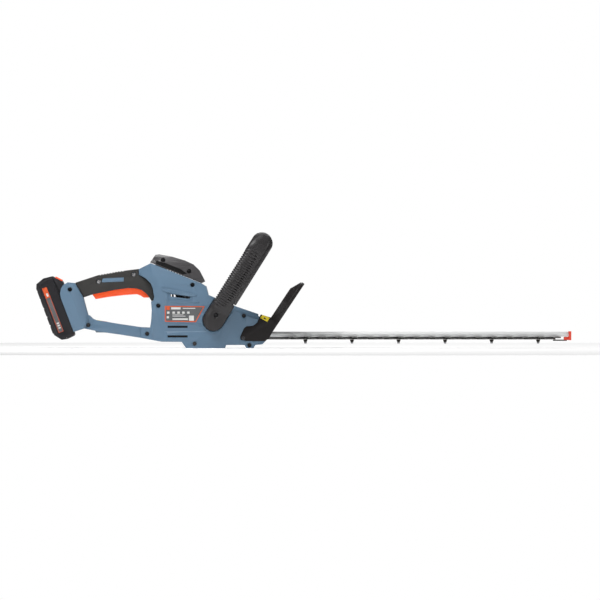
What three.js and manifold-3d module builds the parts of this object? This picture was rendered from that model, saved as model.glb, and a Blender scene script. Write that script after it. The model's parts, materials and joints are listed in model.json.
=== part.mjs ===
// Cordless double-sided hedge trimmer, built as separate pieces.
// Units are millimetres and degrees. +X points along the blade, +Z is up, and Y = 0 is the mould split
// plane. While it is modelled, x = 0 is the drive gear's axis and z = 0 the sole of the foot. The finished
// group is then moved along X, so that the part's origin is the bottom centre of its box.
import * as THREE from "three";
import { mergeVertices } from "three/addons/utils/BufferGeometryUtils.js";
import Module from "manifold-3d";

const wasm = await Module();
wasm.setup();

// ---------- driving dimensions ----------
const wall = 2.5; // moulded shells
const gap = 0.4; // between pieces that fit together
const seam = 0.3; // between the left and right shell halves
const metalGap = 0.3; // between machined pieces that touch or run on each other
const shortestEdge = 0.05; // what an outline keeps when it is moved inwards

const strokeHalf = 5; // each blade moves this far either way
const camRadius = 10;
const camClear = 0.6; // between a cam's whole sweep and the yoke window
const yokeRim = 5;
const bladeThick = 2.2;
const bladeBottom = 15.9;
const spineHalf = 12;
const toothLength = 20;
const toothTip = 7;
const toothRoot = 13;
const toothPitch = 28.7;
const plainLength = 40; // blade without teeth in front of the guard
const boltCount = 6;
const bladeLength = 560; // guard to tip

const barHalf = 13;
const barHeight = 9.3;
const boltShoulder = 4;
const boltShank = 2.5;
const boltHead = 5;
const boltHeadDeep = 3;
const nutAcross = 8; // over the flats
const nutHeight = 4.4;
const boltProud = 2.9; // the bolt's end under the nut

const gearModule = 1;
const gearTeeth = 52;
const pinionTeeth = 12;
const gearThick = 8;
const shaftRadius = 4;
const caseWall = 3;
const caseRoof = 3;

const motorRadius = 22;
const motorLength = 56;
const motorShaft = 2.5;
const fanHeight = 8;
const fanVanes = 9;

const pocketDeep = 4; // the front handle's legs sit this deep in the housing's sides
const noseHalf = 30;
const noseSlope = 18.5; // how far the nose's top falls towards the guard
const noseCornerLean = 34;
const guardWall = 3;
const guardDeep = 17.3;
const guardBand = 5.5; // the front of the guard stands out all round
const guardStep = 1.5;
const guardHeight = 121;
const guardHalf = 85;
const guardTilt = 33.7;

const handleRadius = 19.5; // half the front handle's depth
const handleReach = 168.6; // from the centre of its lower end to that of its upper end
const handleHalf = 84; // half its outside width
const legThick = 24;
const legFoot = 21; // a leg's thickness where it is screwed on
const barThick = 30; // its cross bar
const leverShow = 5; // how far the switch lever stands out in front of the handle
const leverInset = 2.6;
const leverSwing = 6.5; // the room behind the lever's upper end, for its travel
const handleTilt = 32;

const gripHalf = 17;
const gripSkin = 3; // soft grip over the hard core
const strutHalf = 17;
const triggerHalf = 7;

const packHalf = 37.5; // half the battery pack's width
const packDeep = 37;
const packWall = 2.2;
const tongueDeep = 14; // the rail side of the pack, inside the dock
const tongueHalf = 31;
const neckHalf = 27;
const cellRadius = 9.1;
const cellLength = 65;
const cellCount = 5;
const dockTilt = -21;

const coverHalf = 31;
const screwHead = 3.6;
const screwShank = 1.9;
const screwHeadThick = 2.6;
const bossWall = 1;

// ---------- sizes that follow from them ----------
const camSweep = camRadius + strokeHalf;
const windowX = camSweep + strokeHalf + camClear;
const windowY = camSweep + camClear;
const yokeReach = windowX + yokeRim + strokeHalf;
const caseRadius = Math.max(yokeReach + caseWall, (gearTeeth / 2 + 1) * gearModule + 1 + caseWall);
const footHalf = caseRadius + gap + wall;
const bodyHalf = caseRadius + gap + wall + pocketDeep;
const motorX = (-(gearTeeth + pinionTeeth) / 2) * gearModule;
const upperBottom = bladeBottom + bladeThick + metalGap;
const barBottom = upperBottom + bladeThick + metalGap;
const gearBottom = barBottom + 2.6;
const caseBottom = gearBottom - 1;
const caseTop = gearBottom + gearThick + 4 + caseRoof;
const fanBottom = caseTop + 3;
const motorBottom = fanBottom + fanHeight + 2;
const motorTop = motorBottom + motorLength;
const guardFoot = [116.5, 17.9]; // where the guard's front face starts, x and z
const tipX = guardFoot[0] + bladeLength;
const handleFoot = [15.6, 51.2]; // centre of the handle's lower end
const dockAt = [-261.2, 79.7]; // on the line where the pack meets the dock
const recessRadius = screwHead + 0.7;
const bossRadius = recessRadius + bossWall;
const bossHole = screwShank + gap;

// ---------- materials ----------
function finish(color, roughness, metalness) {
  return new THREE.MeshStandardMaterial({ color, roughness, metalness });
}
const bluePlastic = finish(0x587894, 0.5, 0);
const blackPlastic = finish(0x2b2a2b, 0.55, 0);
const softGrip = finish(0x2d2c2c, 0.8, 0);
const orangePlastic = finish(0xee5a1c, 0.45, 0);
const redPlastic = finish(0xd8452b, 0.5, 0);
const darkSteel = finish(0x35322f, 0.35, 0.9);
const brightMetal = finish(0xd2d4d2, 0.3, 1);
const screwSteel = finish(0x4a4a4c, 0.35, 1);
const castMetal = finish(0x9a9c9e, 0.5, 0.9);
const springSteel = finish(0xa8aaac, 0.3, 1);
const boardGreen = finish(0x1f5a3a, 0.6, 0);
const cellWrap = finish(0x3d7a56, 0.5, 0);

// ---------- solids ----------
// A closed three.js geometry as a manifold-3d solid.
function solid(geometry) {
  const loose = geometry.index ? geometry.toNonIndexed() : geometry;
  const bare = new THREE.BufferGeometry().setAttribute("position", loose.getAttribute("position"));
  const merged = mergeVertices(bare, 1e-4);
  return new wasm.Manifold(
    new wasm.Mesh({
      numProp: 3,
      vertProperties: merged.attributes.position.array,
      triVerts: new Uint32Array(merged.index.array),
    }),
  );
}

// The solid back as a named three.js mesh.
function piece(name, made, material) {
  const { vertProperties, triVerts, numProp, numVert } = made.getMesh();
  const places = new Float32Array(numVert * 3);
  for (let i = 0; i < numVert; i++) {
    places.set(vertProperties.subarray(i * numProp, i * numProp + 3), i * 3);
  }
  const geometry = new THREE.BufferGeometry();
  geometry.setAttribute("position", new THREE.BufferAttribute(places, 3));
  geometry.setIndex(new THREE.BufferAttribute(new Uint32Array(triVerts), 1));
  geometry.computeVertexNormals();
  const mesh = new THREE.Mesh(geometry, material);
  mesh.name = name;
  return mesh;
}

function extruded(outline, depth, bevel) {
  const shape = new THREE.Shape(outline.map(([a, b]) => new THREE.Vector2(a, b)));
  const settings = {
    depth: depth - 2 * bevel,
    bevelEnabled: bevel > 0,
    bevelThickness: bevel,
    bevelSize: bevel,
    bevelOffset: -bevel,
    bevelSegments: 2,
  };
  return new THREE.ExtrudeGeometry(shape, settings).translate(0, 0, bevel);
}

// A side outline of [x, z] points, made solid from y0 to y1.
function side(outline, y0, y1, bevel = 0) {
  return solid(extruded(outline, y1 - y0, bevel).rotateX(Math.PI / 2).translate(0, y1, 0));
}

// A plan outline of [x, y] points, made solid from z0 to z1.
function plan(outline, z0, z1) {
  return solid(extruded(outline, z1 - z0, 0).translate(0, 0, z0));
}

// A front outline of [y, z] points, made solid from x0 to x1.
function front(outline, x0, x1) {
  const upright = extruded(outline, x1 - x0, 0).rotateX(Math.PI / 2).rotateZ(Math.PI / 2);
  return solid(upright.translate(x0, 0, 0));
}

function box(x0, x1, y0, y1, z0, z1) {
  const made = new THREE.BoxGeometry(x1 - x0, y1 - y0, z1 - z0);
  return solid(made.translate((x0 + x1) / 2, (y0 + y1) / 2, (z0 + z1) / 2));
}

// A cylinder along Y.
function barrel(x, z, y0, y1, radius, sides = 20) {
  const made = new THREE.CylinderGeometry(radius, radius, y1 - y0, sides);
  return solid(made.translate(x, (y0 + y1) / 2, z));
}

// A cylinder along Z.
function column(x, y, z0, z1, radius, sides = 24) {
  const made = new THREE.CylinderGeometry(radius, radius, z1 - z0, sides).rotateX(Math.PI / 2);
  return solid(made.translate(x, y, (z0 + z1) / 2));
}

const join = (...solids) => solids.reduce((a, b) => a.add(b));
const cut = (a, ...tools) => tools.reduce((made, tool) => made.subtract(tool), a);
const flip = (made) => made.mirror([0, 1, 0]);
const leftOf = (made) => made.intersect(box(-600, 900, -200, -seam / 2, -100, 400));
const rightOf = (made) => made.intersect(box(-600, 900, seam / 2, 200, -100, 400));

// Moves a clockwise outline's edges inwards by d, or outwards if d is negative. An edge that shrinks to
// nothing is left out.
function inset(outline, d) {
  let lines = outline.map((p, i) => {
    const q = outline[(i + 1) % outline.length];
    const along = new THREE.Vector2(q[0] - p[0], q[1] - p[1]).normalize();
    return { at: new THREE.Vector2(p[0] + along.y * d, p[1] - along.x * d), along };
  });
  for (;;) {
    const corners = lines.map((line, i) => {
      const before = lines[(i + lines.length - 1) % lines.length];
      const turn = before.along.cross(line.along);
      if (Math.abs(turn) < 1e-3) return line.at;
      const reach = line.at.clone().sub(before.at).cross(line.along) / turn;
      return before.at.clone().addScaledVector(before.along, reach);
    });
    const kept = lines.filter(({ along }, i) => {
      const edge = corners[(i + 1) % lines.length].clone().sub(corners[i]);
      return edge.dot(along) > shortestEdge;
    });
    if (kept.length === lines.length) return corners.map(({ x, y }) => [x, y]);
    lines = kept;
  }
}

// Points along an arc, from angle a to angle b.
function arc(x, z, radius, a, b, steps) {
  return Array.from({ length: steps + 1 }, (_, i) => {
    const turn = THREE.MathUtils.degToRad(a + ((b - a) * i) / steps);
    return [x + radius * Math.cos(turn), z + radius * Math.sin(turn)];
  });
}

// A frame that stands at a point in the side view, turned about Y.
const placed = (made, [x, z], tilt) => made.rotate([0, tilt, 0]).translate([x, 0, z]);
function groupAt([x, z], tilt) {
  const group = new THREE.Group();
  group.position.set(x, 0, z);
  group.rotation.y = THREE.MathUtils.degToRad(tilt);
  return group;
}
const placeOf = ([x, z], tilt, [fx, fz]) => {
  const turn = THREE.MathUtils.degToRad(tilt);
  return [fx + x * Math.cos(turn) + z * Math.sin(turn), fz - x * Math.sin(turn) + z * Math.cos(turn)];
};

const trimmer = new THREE.Group();

// ---------- side outlines, clockwise, as [x, z] ----------
const gripOutline = [
  [-239.4, 121], [-196.7, 135.1], [-161.5, 141.5], [-123.2, 146.2], [-122.3, 134.9], [-110.3, 128.4],
  [-100.7, 118.8], [-96.8, 109.2], [-94.4, 94.7], [-95.9, 88.2], [-99.2, 86.8], [-104, 94.7],
  [-108.8, 100.3], [-116.8, 106.7], [-126.4, 109.9], [-142.5, 110.8], [-166.5, 107.5], [-190.6, 102.7],
  [-209.8, 98.8], [-225.7, 93.4], [-229.6, 102.3], [-235.5, 110.1], [-238.5, 114.1],
];
const slopeBack = [-100.5, 156.7];
const slopeFront = [-6.9, 119.5];
const bodyOutline = [
  [-122.6, 145.8], slopeBack, slopeFront, [1.8, 114], [5.9, 98.1], [57.3, 76.8], [98, 62.9], [98, 59],
  [108, 55.4], [108, 20], [113.4, 18.6], [114.5, 16], [105.8, 7], [92.8, 5.8], [89.1, 0], [76.2, 0],
  [72.5, 5.8], [footHalf + 2, 5.8], [footHalf, 0], [1.5 - footHalf, 0], [-footHalf - 6.5, 11.5],
  [-80, 11.8], [-119, 18.9], [-119, 38.6], [-101.5, 37.9], [-99.4, 51.8], [-98.4, 70.3], [-99.8, 86],
  [-95.4, 87.7], [-93.9, 94.7], [-96.3, 109.5], [-100.2, 119.4], [-109.8, 129], [-121.8, 135.4],
];
const bodyPlan = [
  [-124, -gripHalf - 1], [-124, gripHalf + 1], [-96, bodyHalf - 6], [-70, bodyHalf], [30, bodyHalf],
  [62, noseHalf + 4], [120, noseHalf + 0.6], [120, -noseHalf - 0.6], [62, -noseHalf - 4], [30, -bodyHalf],
  [-70, -bodyHalf], [-96, -bodyHalf + 6],
];
// Half of the body's front view, as [y, z]: it narrows towards the top cover.
const bodyShoulder = (d) => [
  [bodyHalf - d, -5], [bodyHalf - d, 96], [bodyHalf - 3 - d, 120], [coverHalf + 2.5 - d, 142],
  [coverHalf - d, 160],
];
const mirrored = (half) => [...half.map(([y, z]) => [-y, z]), ...[...half].reverse()];
// The nose's top corners are cut off by a slanted plane.
function noseCorner(d) {
  const lean = THREE.MathUtils.degToRad(noseCornerLean);
  const slice = box(-20, 90, 0, 60, 0, 60).rotate([noseCornerLean, 0, 0]);
  const sunk = slice.translate([0, noseHalf + 1.2 - d * Math.cos(lean), -d * Math.sin(lean)]);
  return sunk.rotate([0, noseSlope, 0]).translate([54.3, 0, 66.3]);
}
const strutOutline = [
  [-232, 62], [-213.9, 60.5], [-207.8, 54.4], [-202.2, 51.8], [-157.8, 44.4], [-119, 38.6], [-100, 37.9],
  [-100, 15.4], [-119, 18.9], [-157.8, 25], [-191.1, 29.6], [-223.7, 36.1], [-232, 40],
];
// In the dock's own frame: +x towards the tool, +z the way the pack slides off.
const dockOutline = [
  [0, -53], [0, 13.7], [1.5, 21.5], [6.6, 30], [12.1, 34.3], [22.3, 36.2], [33.6, 30.4], [38.4, 1],
  [35.8, -22.4], [34.5, -38], [19.4, -54.1],
];
const coverOutline = [
  [-101.6, 158.2], [-98.3, 162.8], [-92, 172.4], [-84.7, 173.3], [-62.2, 169.3], [-38.1, 162.1],
  [-22.2, 154.8], [-10.9, 143.6], [-1.3, 125.2], [-0.6, 123.2], [-6.9, 119.9],
];
const coverRoom = [
  [-97.6, 150], [-96.6, 162], [-90.9, 169.6], [-62.8, 166.6], [-39, 159.5], [-24, 152.6], [-13, 141.8],
  [-6, 127], [-6, 110],
];
// Half of the cover's front view: its sides round over into the crown.
const coverCrown = (d) => [
  [coverHalf - d, 110], [coverHalf - d, 150], [coverHalf - 2.5 - d, 160], [coverHalf - 9 - d, 168],
  [10, 173.4 - d],
];

// ---------- drive ----------
// A spur gear's outline with involute flanks, thinned by the backlash.
function gearOutline(teeth, backlash) {
  const pressure = Math.PI / 9;
  const pitchRadius = (teeth * gearModule) / 2;
  const base = pitchRadius * Math.cos(pressure);
  const tip = pitchRadius + 0.85 * gearModule;
  const root = pitchRadius - 1.3 * gearModule;
  const start = Math.max(base, root);
  const involute = (angle) => Math.tan(angle) - angle;
  const toothAngle = ((Math.PI * gearModule) / 2 - backlash) / 2 / pitchRadius + involute(pressure);
  const flank = [root, ...[0, 0.55, 1].map((t) => start + (tip - start) * t)];
  const half = flank.map((r) => [r, toothAngle - (r > base ? involute(Math.acos(base / r)) : 0)]);
  const tooth = [...half.map(([r, a]) => [r, -a]), ...[...half].reverse()];
  return Array.from({ length: teeth }, (_, i) => {
    const centre = (i * 2 * Math.PI) / teeth;
    return tooth.map(([r, a]) => [r * Math.cos(centre + a), r * Math.sin(centre + a)]);
  }).flat();
}

function buildDrive() {
  const turned = 180 / pinionTeeth; // a pinion gap faces the gear's tooth
  const gear = plan(gearOutline(gearTeeth, 0.35), gearBottom, gearBottom + gearThick);
  const bore = column(0, 0, 0, 60, shaftRadius + metalGap);
  trimmer.add(piece("drive_gear", cut(gear, bore), castMetal));

  const camTop = gearBottom - metalGap;
  const cams = join(
    column(0, -strokeHalf, bladeBottom, bladeBottom + bladeThick + metalGap / 2, camRadius, 32),
    column(0, strokeHalf, bladeBottom + bladeThick + metalGap / 2, camTop, camRadius, 32),
  );
  trimmer.add(piece("eccentric_cam", cut(cams, bore), darkSteel));
  const axle = column(0, 0, wall + 1.2, caseTop - caseRoof - metalGap, shaftRadius);
  trimmer.add(piece("gear_shaft", axle, brightMetal));

  const pinion = plan(gearOutline(pinionTeeth, 0.45), gearBottom - 0.5, gearBottom + gearThick + 1);
  const core = column(0, 0, motorBottom + 6, motorTop - 6, motorRadius - 5, 16);
  const shaft = column(0, 0, gearBottom - 0.5, motorTop + 3, motorShaft, 12);
  const rotor = join(pinion.rotate([0, 0, turned]), shaft, core);
  trimmer.add(piece("motor_rotor", rotor.translate([motorX, 0, 0]), screwSteel));

  const fanRadius = motorRadius - 2;
  const vanes = Array.from({ length: fanVanes }, (_, i) =>
    box(5, fanRadius - 0.5, -0.7, 0.7, 0, fanHeight).rotate([0, 0, (i * 360) / fanVanes]));
  const fan = cut(
    join(column(0, 0, 0, fanHeight, 6, 16), column(0, 0, fanHeight - 1.5, fanHeight, fanRadius), ...vanes),
    column(0, 0, -1, fanHeight + 1, motorShaft + metalGap, 12),
  );
  trimmer.add(piece("cooling_fan", fan.translate([motorX, 0, fanBottom]), blackPlastic));

  const can = cut(
    join(
      column(motorX, 0, motorBottom, motorTop, motorRadius, 32),
      column(motorX, 0, motorTop, motorTop + 3, motorShaft + 3.5, 16),
    ),
    column(motorX, 0, motorBottom + 2, motorTop - 2, motorRadius - 1.5, 32),
    column(motorX, 0, 0, motorTop + 9, motorShaft + 0.5, 16),
  );
  trimmer.add(piece("motor_can", can, castMetal));

  // The case closes over the gear, carries the motor in a collar, and has an arm over the guide bar.
  const collarRadius = motorRadius + metalGap + caseWall;
  const pinionRoom = (pinionTeeth / 2 + 1) * gearModule + 1;
  const posts = [-1, 1].flatMap((a) =>
    [-1, 1].map((b) =>
      column(a * 0.3 * caseRadius, b * 0.84 * caseRadius, wall + 4.2, caseBottom + 1, 3.3, 12)));
  const gearCase = cut(
    join(
      column(0, 0, caseBottom, caseTop, caseRadius, 32),
      column(motorX, 0, caseTop - caseRoof, motorBottom + 8, collarRadius, 32),
      column(motorX, 0, caseBottom, caseTop, pinionRoom + caseWall, 20),
      box(caseRadius - 4, 95, -11, 11, barBottom + barHeight + metalGap, caseTop),
      ...posts,
    ),
    column(0, 0, caseBottom - 1, caseTop - caseRoof, caseRadius - caseWall, 32),
    column(motorX, 0, caseBottom - 1, caseTop - caseRoof, pinionRoom, 20),
    column(motorX, 0, caseTop, 90, motorRadius + metalGap, 32),
    column(motorX, 0, 0, 90, motorShaft + 2, 16),
    box(motorX - 40, motorX + 40, -12, 12, fanBottom + 1, fanBottom + fanHeight),
    box(0, caseRadius + 1, -barHalf - gap, barHalf + gap, 0, barBottom + barHeight + metalGap),
  );
  trimmer.add(piece("gear_case", gearCase, castMetal));

  const plate = cut(
    column(0, 0, wall + 0.7, wall + 3.7, caseRadius - 0.5, 32),
    column(0, 0, wall + 1, 20, shaftRadius + metalGap),
  );
  trimmer.add(piece("gear_plate", plate, brightMetal));
}

// ---------- blades, guide bar and their bolts ----------
const toothStart = guardFoot[0] + plainLength;
const toothCount = Math.floor((tipX - 22 - toothStart) / toothPitch) + 1;
const bladeEnd = toothStart + (toothCount - 1) * toothPitch + 8; // before the phase is added
const boltEvery = Math.floor(toothCount / boltCount); // teeth between two bolts
const boltPlaces = Array.from({ length: boltCount }, (_, i) =>
  toothStart + (boltEvery * i + 1) * toothPitch);

// The outline of one blade, its teeth moved along X by phase.
function bladeOutline(phase) {
  const half = [[windowX + yokeRim, windowY + yokeRim], [windowX + yokeRim + 9, spineHalf]];
  for (let i = 0; i < toothCount; i++) {
    const x = toothStart + i * toothPitch + phase;
    const shoulder = spineHalf + toothLength - 1.5;
    half.push([x - toothRoot / 2, spineHalf], [x - toothTip / 2, shoulder], [x, spineHalf + toothLength]);
    half.push([x + toothTip / 2, shoulder], [x + toothRoot / 2, spineHalf]);
  }
  half.push([bladeEnd + phase, spineHalf - 2]);
  const back = [-windowX - yokeRim, windowY + yokeRim];
  return [back, ...half, ...half.map(([x, y]) => [x, -y]).reverse(), [back[0], -back[1]]];
}

function buildBlades() {
  const slotEnd = boltShoulder + 0.5;
  const slots = boltPlaces.map((x) => {
    const ahead = arc(x + strokeHalf, 0, slotEnd, -90, 90, 4);
    return plan([...ahead, ...arc(x - strokeHalf, 0, slotEnd, 90, 270, 4)], 0, 30);
  });
  const window = box(-windowX, windowX, -windowY, windowY, 0, 30);
  const addBlade = (name, z, phase) => {
    const blank = plan(bladeOutline(phase), z, z + bladeThick);
    trimmer.add(piece(name, cut(blank, window, ...slots), darkSteel));
  };
  addBlade("upper_blade", upperBottom, strokeHalf);
  addBlade("lower_blade", bladeBottom, -strokeHalf);

  const top = barBottom + barHeight;
  const barProfile = [
    [-barHalf, barBottom], [-barHalf, top - 3.5], [-barHalf + 4, top], [barHalf - 4, top],
    [barHalf, top - 3.5], [barHalf, barBottom],
  ];
  const barStart = caseRadius + gap;
  const finThick = 4.5;
  const bores = boltPlaces.flatMap((x) => [
    column(x, 0, 0, 60, boltShank + metalGap, 10),
    column(x, 0, top - boltHeadDeep - metalGap, 60, boltHead + gap, 12),
  ]);
  const bar = front(barProfile, barStart, tipX - finThick - metalGap);
  trimmer.add(piece("guide_bar", cut(bar, ...bores), brightMetal));

  // The bolt's shoulder carries the bar and lets both blades slide; the nut closes it from below.
  const nutTop = bladeBottom - metalGap;
  boltPlaces.forEach((x, i) => {
    const bolt = join(
      column(0, 0, top - boltHeadDeep, top - 0.4, boltHead, 12),
      column(0, 0, nutTop - nutHeight - boltProud, top - 1, boltShank, 8),
      column(0, 0, nutTop, barBottom - metalGap, boltShoulder, 12),
    );
    const nut = cut(
      column(0, 0, nutTop - nutHeight, nutTop - metalGap, nutAcross / Math.sqrt(3), 6),
      column(0, 0, 0, 60, boltShank + metalGap, 10),
    );
    for (const [name, made] of [["blade_bolt_", bolt], ["lock_nut_", nut]]) {
      const mesh = piece(name + (i + 1), made, screwSteel);
      mesh.position.x = x;
      trimmer.add(mesh);
    }
  });

  // The tip guard: a fin that closes the bar's end, a foot that holds it, and a tongue below the blades.
  const fin = box(tipX - finThick, tipX, -barHalf - 3, barHalf + 3, bladeBottom - 1.4, top + 0.8);
  const clearOfBlades = bladeEnd + 2 * strokeHalf + 0.8;
  const under = box(clearOfBlades - 20, tipX - 8, -7, 7, bladeBottom - 2.6, bladeBottom - metalGap);
  const block = box(clearOfBlades, tipX - 1, -9, 9, bladeBottom - 1, barBottom - metalGap);
  trimmer.add(piece("tip_guard", join(fin, under, block), redPlastic));
}

// ---------- fasteners of the housing ----------
// A pan-head screw with its shank along +Y: the head's outer face is at y = 0.
function screwSolid(length) {
  const head = barrel(0, 0, 0, screwHeadThick, screwHead, 14);
  const shank = barrel(0, 0, screwHeadThick - 0.5, length, screwShank, 8);
  const drive = box(-2.4, 2.4, -1, 1.2, -0.5, 0.5);
  return cut(join(head, shank), drive);
}

// Each screw's place in the side view, half the housing's width there, its head's depth, and its length.
const bodyScrews = [
  { x: -249.4, z: 108.2, outer: packHalf, deep: 22, length: 26 },
  { x: -216.1, z: 42.6, outer: strutHalf, deep: 5, length: 22 },
  { x: -86.2, z: 78.3, outer: bodyHalf - 3.8, deep: 22, length: 28 },
  { x: -107, z: 26.5, outer: 24.6, deep: 10, length: 24 },
  { x: -23.3, z: motorTop + 9.3, outer: bodyHalf, deep: 24, length: 28 },
  { x: -19.1, z: 8.3, outer: bodyHalf, deep: 3.6, length: 6 },
  { x: 71.6, z: 59.8, outer: noseHalf + 3.2, deep: 20, length: 24 },
  { x: 81.7, z: 5.4, outer: noseHalf + 2.6, deep: 20, length: 24 },
];
const gripScrews = [
  { x: -196.7, z: 123, outer: gripHalf, deep: 1.2, length: 24 },
  { x: -132, z: 136, outer: gripHalf, deep: 1.2, length: 24 },
];
const coverScrews = [
  { x: -77.4, z: 162.8, outer: coverHalf, deep: 16, length: 26 },
  { x: -29.6, z: 141.9, outer: coverHalf, deep: 16, length: 26 },
];

// Solid posts inside a shell for its screws, and the recesses and holes that are then cut through them.
// A post starts inside the wall, so that it doesn't show outside.
const bosses = (screws) => screws.map(({ x, z, outer, length, deep }) => {
  const short = length < outer - deep;
  const reach = outer - wall / 2;
  return barrel(x, z, -reach, short ? -outer + deep + length : reach, bossRadius, 16);
});
const screwHoles = (screws) => screws.flatMap(({ x, z, outer, deep, length }) => [
  barrel(x, z, -outer - 20, -outer + deep + screwHeadThick + gap, recessRadius, 16),
  barrel(x, z, -outer, -outer + deep + length + 1, bossHole, 12),
]);

function addScrews(prefix, screws) {
  screws.forEach(({ x, z, outer, deep, length }, i) => {
    const mesh = piece(prefix + (i + 1), screwSolid(length), screwSteel);
    mesh.position.set(x, -outer + deep, z);
    trimmer.add(mesh);
  });
}

// ---------- guard ----------
const hoodOutline = [
  [64.9, 20.9], [71.9, 36.4], [76.6, 40.1], [88.8, 41.1], [96.5, 47.2], [100.4, 56.4], [102.4, 62.2],
  [122, 56.2], [134, 48], [118, 18], [110.4, 13], [76.6, 13.3], [65.7, 15.7],
];
const noseRoomOutline = [
  [50, -5], [50, 90], [98, 80], [98, 59.4], [130, 50], [113.6, 22], [115.2, 19.2], [115.2, -5],
];
const guardScrewAt = [70.6, 18.8];
const guardOuter = noseHalf + gap + guardWall;
const bladeDoor = box(40, 200, -barHalf - 1, barHalf + 1, 8, barBottom + barHeight + 0.8);

function buildGuard() {
  const lower = 30;
  const right = [
    [guardOuter, 0], [guardOuter, lower], [guardHalf - 10, lower + 30], [guardHalf, lower + 42],
    [guardHalf, guardHeight - 22], ...arc(guardHalf - 22, guardHeight - 22, 22, 0, 90, 4),
  ];
  const outline = [...right.map(([y, z]) => [-y, z]), ...[...right].reverse()];
  const slantedTop = [
    [-guardDeep - 1, guardHeight - 24], [-8, guardHeight - 3], [-8, guardHeight + 5],
    [-guardDeep - 1, guardHeight + 5],
  ];
  const tray = cut(
    join(front(inset(outline, guardStep), -guardDeep, 0), front(outline, -guardBand, 0)),
    front(inset(outline, guardStep + guardWall), -guardDeep - 5, -guardWall),
    side(slantedTop, -120, 120),
  );
  const hood = side(hoodOutline, -guardOuter, guardOuter);
  const noseRoom = side(noseRoomOutline, -noseHalf - gap, noseHalf + gap);
  const screwHole = barrel(...guardScrewAt, -60, 60, bossHole, 12);
  const guard = cut(join(placed(tray, guardFoot, guardTilt), hood), noseRoom, bladeDoor, screwHole);
  trimmer.add(piece("hand_guard", guard, blackPlastic));
  for (const [name, way] of [["guard_screw_left", 1], ["guard_screw_right", -1]]) {
    const mesh = piece(name, screwSolid(12), screwSteel);
    mesh.position.set(guardScrewAt[0], -way * (guardOuter + screwHeadThick + gap), guardScrewAt[1]);
    if (way < 0) mesh.rotation.z = Math.PI;
    trimmer.add(mesh);
  }
}

// ---------- front handle, in its own frame: +z up the leg, +x forwards ----------
const pocketFloor = bodyHalf - pocketDeep;
const leverStart = 45;
const leverDeep = 10.5;
const leverPivot = [handleRadius - leverDeep + 4, leverStart + 4];
const leverPin = 2;
const capsule = (grow, low, high) => [
  ...arc(0, high, handleRadius + grow, 0, 180, 18), ...arc(0, low, handleRadius + grow, 180, 360, 18),
];

// Half of the loop in the front view, from its foot up to the middle of the cross bar, as [y, z].
function loopOutline(shrink) {
  const footIn = pocketFloor + gap + shrink;
  const footOut = pocketFloor + gap + legFoot - shrink;
  const out = handleHalf - shrink;
  const inner = handleHalf - legThick + shrink;
  const topOut = handleReach + handleRadius + 1 - shrink;
  const topIn = handleReach + handleRadius - barThick + shrink;
  const right = [
    [footOut, -30], [footOut, 22], [out - 4, 60], [out, 74], ...arc(out - 34, topOut - 34, 34, 0, 90, 12),
  ];
  const left = right.map(([y, z]) => [-y, z]).reverse();
  const innerRight = [
    [footIn, -30], [footIn, 24], [inner - 3, 62], [inner, 74], ...arc(inner - 16, topIn - 16, 16, 0, 90, 8),
  ];
  const innerLeft = innerRight.map(([y, z]) => [-y, z]).reverse();
  return { outer: [...right, ...left], inner: [...innerRight, ...innerLeft] };
}

function buildHandle() {
  const frame = groupAt(handleFoot, handleTilt);
  const whole = loopOutline(0);
  const groove = loopOutline(leverInset - 0.8);
  const strip = loopOutline(leverInset);
  const span = [-handleRadius - 1, handleRadius + 1];
  const ring = ({ outer, inner }, x0, x1) => cut(front(outer, x0, x1), front(inner, x0 - 1, x1 + 1));
  const above = (z) => box(-60, 60, -150, 150, z, 300);
  const ledge = handleRadius - leverShow; // the loop's front face, behind the lever
  const bluntFront = side([
    [-40, -40], [-40, 260], [ledge, 260], [ledge, leverStart - 1], [40, leverStart - 8], [40, -40],
  ], -200, 200);

  const hollow = ring(groove, handleRadius - leverDeep - leverSwing, 60).intersect(above(leverStart - 1));
  const pins = barrel(...leverPivot, -handleHalf, handleHalf, leverPin, 12);
  const holeAt = placeOf([0, 0], 0, [-1, 11]);
  const seat = pocketFloor + gap + 8; // where the screw's head rests
  const footHole = join(
    barrel(...holeAt, seat, 90, recessRadius, 16),
    barrel(...holeAt, 20, seat + 1, bossHole, 12),
  );
  const loop = ring(whole, ...span).intersect(side(capsule(0, 0, handleReach), -200, 200));
  const body = cut(loop.intersect(bluntFront), hollow, footHole, flip(footHole));
  frame.add(piece("front_handle", join(body, pins.intersect(loop)), softGrip));

  const lever = cut(
    ring(strip, handleRadius - leverDeep, handleRadius + 1)
      .intersect(side(capsule(0, 0, handleReach), -200, 200))
      .intersect(above(leverStart)),
    barrel(...leverPivot, -handleHalf - 9, handleHalf + 9, leverPin + gap, 12),
  );
  frame.add(piece("front_switch_lever", lever, blackPlastic));
  trimmer.add(frame);

  for (const [name, way] of [["handle_screw_left", 1], ["handle_screw_right", -1]]) {
    const mesh = piece(name, screwSolid(22), screwSteel);
    const [x, z] = placeOf(holeAt, handleTilt, handleFoot);
    mesh.position.set(x, -way * (seat + screwHeadThick), z);
    if (way < 0) mesh.rotation.z = Math.PI;
    trimmer.add(mesh);
  }
  return placeOf(holeAt, handleTilt, handleFoot);
}

// ---------- rear grip and trigger ----------
const triggerPivot = [-118, 115];
const pivotPin = 2.4;
const triggerOutline = [
  [-209, 99.4], [-206, 103.5], [-190.6, 108], [-166.5, 112.4], [-142.5, 115.4], [-128, 117],
  ...arc(triggerPivot[0], triggerPivot[1], 6, 120, -60, 6), [-106.5, 103], [-103.8, 97], [-103.6, 93.4],
  [-113.6, 93.1], [-119.9, 97.1], [-126.4, 99.5], [-150.4, 97.9], [-182.4, 94], [-202.6, 90.3],
];
const switchAt = -152;
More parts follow.
